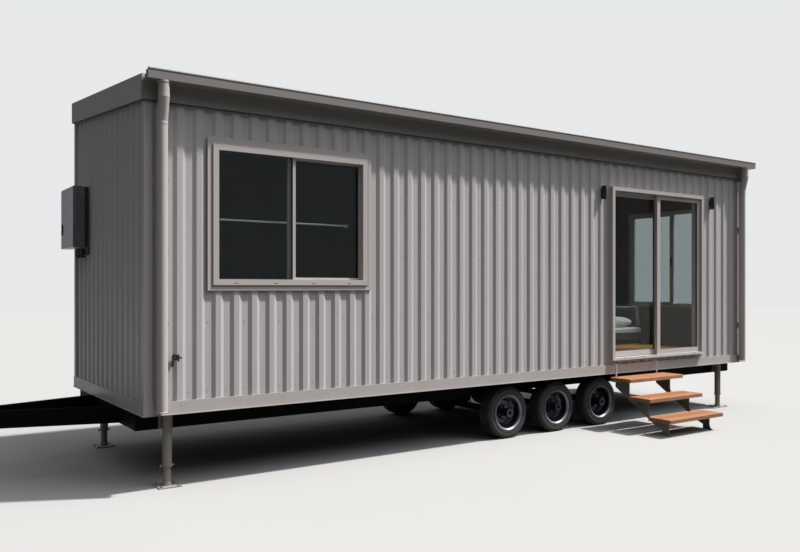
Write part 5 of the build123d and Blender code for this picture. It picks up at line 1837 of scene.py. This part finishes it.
@dataclass
class Daybed:
    """The bed in the corner: boards, a mattress, a dark bolster with piping and a pale pillow."""

    bolster_depth: float = 0.150
    bolster_play: float = 0.004
    pillow_length: float = 0.560
    pillow_span: tuple[float, float] = (0.018, 0.518)
    pillow_height: float = 0.160

    def build(self) -> None:
        """Dresses the bed and makes its soft parts."""
        Finishes.BED.dress("daybed")
        Finishes.MATTRESS.dress("daybed_mattress")
        Finishes.DARK_CUSHION.dress("daybed_cushion")
        low, high = HOUSE.box("daybed_mattress")
        soft, soft_high = HOUSE.box("daybed_cushion")
        near, far = self.pillow_span
        pads = (
            Pad("mattress", tuple(low), tuple(high), "Z", Finishes.MATTRESS, 0.010, 0.011, 0.8,
                "daybed_mattress", "mattress_cloth", piping=Finishes.PIPING),
            Pad("bolster", (high.x - self.bolster_depth, low.y + self.bolster_play, high.z),
                (high.x, high.y - self.bolster_play, soft_high.z), "X", Finishes.DARK_CUSHION,
                0.022, 0.007, 0.6, "daybed_cushion", "cushion_cloth", tilt=-7.0,
                piping=Finishes.PIPING),
            Pad("pillow", (soft.x, soft.y + near, high.z),
                (soft.x + self.pillow_length, soft.y + far, high.z + self.pillow_height), "Z",
                Finishes.PALE_CUSHION, 0.024, 0.007, 0.55, "daybed_cushion", "cushion_cloth",
                pinch=0.85))
        for pad in pads:
            pad.build()


@dataclass
class Studio:
    """Floor, light, background and camera."""

    eye: Place = (-1.917, -6.370, 1.668)
    heading: float = -34.73
    lens: float = 35.5
    shift: float = 0.01425
    sun_from: Place = (0.495, -0.2356, 0.8365)
    sun: float = 6.05
    sun_width: float = 2.4
    sun_colour: Colour = (1.0, 0.965, 0.935)
    front_from: Place = (0.44, -0.42, 0.794)
    front: float = 1.45
    front_width: float = 50.0
    fill: float = 0.21
    floor: Colour = (0.365, 0.365, 0.36)
    floor_bounce: Colour = (0.050, 0.052, 0.045)
    backdrop: Colour = (0.80, 0.81, 0.82)
    sky: Colour = (0.93, 0.95, 1.0)

    def build(self) -> None:
        """Builds the studio."""
        self._floor()
        self._light()
        self._camera()

    def _floor(self) -> None:
        """A wide floor, pale where it is seen and duller in what it throws back."""
        mesh = bpy.data.meshes.new("studio_floor")
        r = 60.0
        mesh.from_pydata([(-r, -r, 0), (r, -r, 0), (r, r, 0), (-r, r, 0)], [], [(0, 1, 2, 3)])
        material = bpy.data.materials.new("studio_floor")
        graph = Graph.fresh(material)
        seen = self._seen(graph, "Is Glossy Ray", "Is Transmission Ray")
        graph.surface(base=graph.mix(seen, self.floor_bounce, self.floor), roughness=0.9,
                      specular=0.1)
        mesh.materials.append(material)
        floor = linked("studio_floor", mesh)

    @staticmethod
    def _seen(graph: Graph, *others: str) -> Wire:
        """1 for the camera's rays and rays of these other kinds, else 0."""
        path = graph.put("ShaderNodeLightPath", "Is Camera Ray")
        return graph.remap(sum((path.also(kind) for kind in others), start=path), 0.0, 1.0)

    def _light(self) -> None:
        """A soft key from the photograph's side, and an even fill."""
        self._lamp("key", self.sun, self.sun_width, self.sun_colour, self.sun_from)
        front = self._lamp("front_fill", self.front, self.front_width, self.sky, self.front_from)
        front.visible_glossy = False
        world = bpy.data.worlds.new("studio")
        bpy.context.scene.world = world
        graph = Graph.fresh(world)
        height = graph.axis("Z", graph.put("ShaderNodeTexCoord", "Generated"))
        fill = graph.put("ShaderNodeBackground", Color=self.sky,
                         Strength=graph.remap(height, 0.2, 1.0, 0.08, 3.2) * self.fill)
        shown = graph.put("ShaderNodeBackground", Color=self.backdrop, Strength=1.0)
        both = graph.mixed(self._seen(graph, "Is Transmission Ray"), fill, shown)
        graph.put("ShaderNodeOutputWorld", Surface=both)

    @staticmethod
    def _lamp(name: str, energy: float, width: float, colour: Colour,
              from_way: Place) -> bpy.types.Object:
        """A distant lamp of some width in degrees, shining from a direction.

        Args:
            name: The lamp's name.
            energy: Its strength.
            width: Its width in degrees.
            colour: Its colour.
            from_way: The direction that it shines from.

        Returns:
            The lamp's object.
        """
        lamp = bpy.data.lights.new(name, "SUN")
        lamp.energy = energy
        lamp.angle = math.radians(width)
        lamp.color = colour
        holder = linked(name, lamp)
        holder.rotation_euler = Vector(from_way).to_track_quat("Z", "Y").to_euler()
        return holder

    def _camera(self) -> None:
        """A level camera at the photograph's place."""
        data = bpy.data.cameras.new("camera")
        data.lens = self.lens
        data.sensor_width = 36.0
        data.shift_y = self.shift
        data.clip_end = 200.0
        camera = linked("camera", data)
        camera.location = HOUSE.at(*self.eye)
        camera.rotation_euler = (math.pi / 2, 0.0, math.radians(self.heading))
        bpy.context.scene.camera = camera
        bpy.context.scene.view_settings.view_transform = "Standard"


def main() -> None:
    """Builds every assembly in order."""
    logging.basicConfig(level=logging.INFO, format="%(message)s")
    for assembly in (Studio(), Shell(), RainGoods(), Windows(), SlidingDoor(), WallFittings(),
                     Trailer(), RoadWheels(), JackLegs(), Steps(), Daybed()):
        log.info("building %s", type(assembly).__name__)
        assembly.build()
    bpy.context.view_layer.update()


if __name__ == "__main__":
    main()
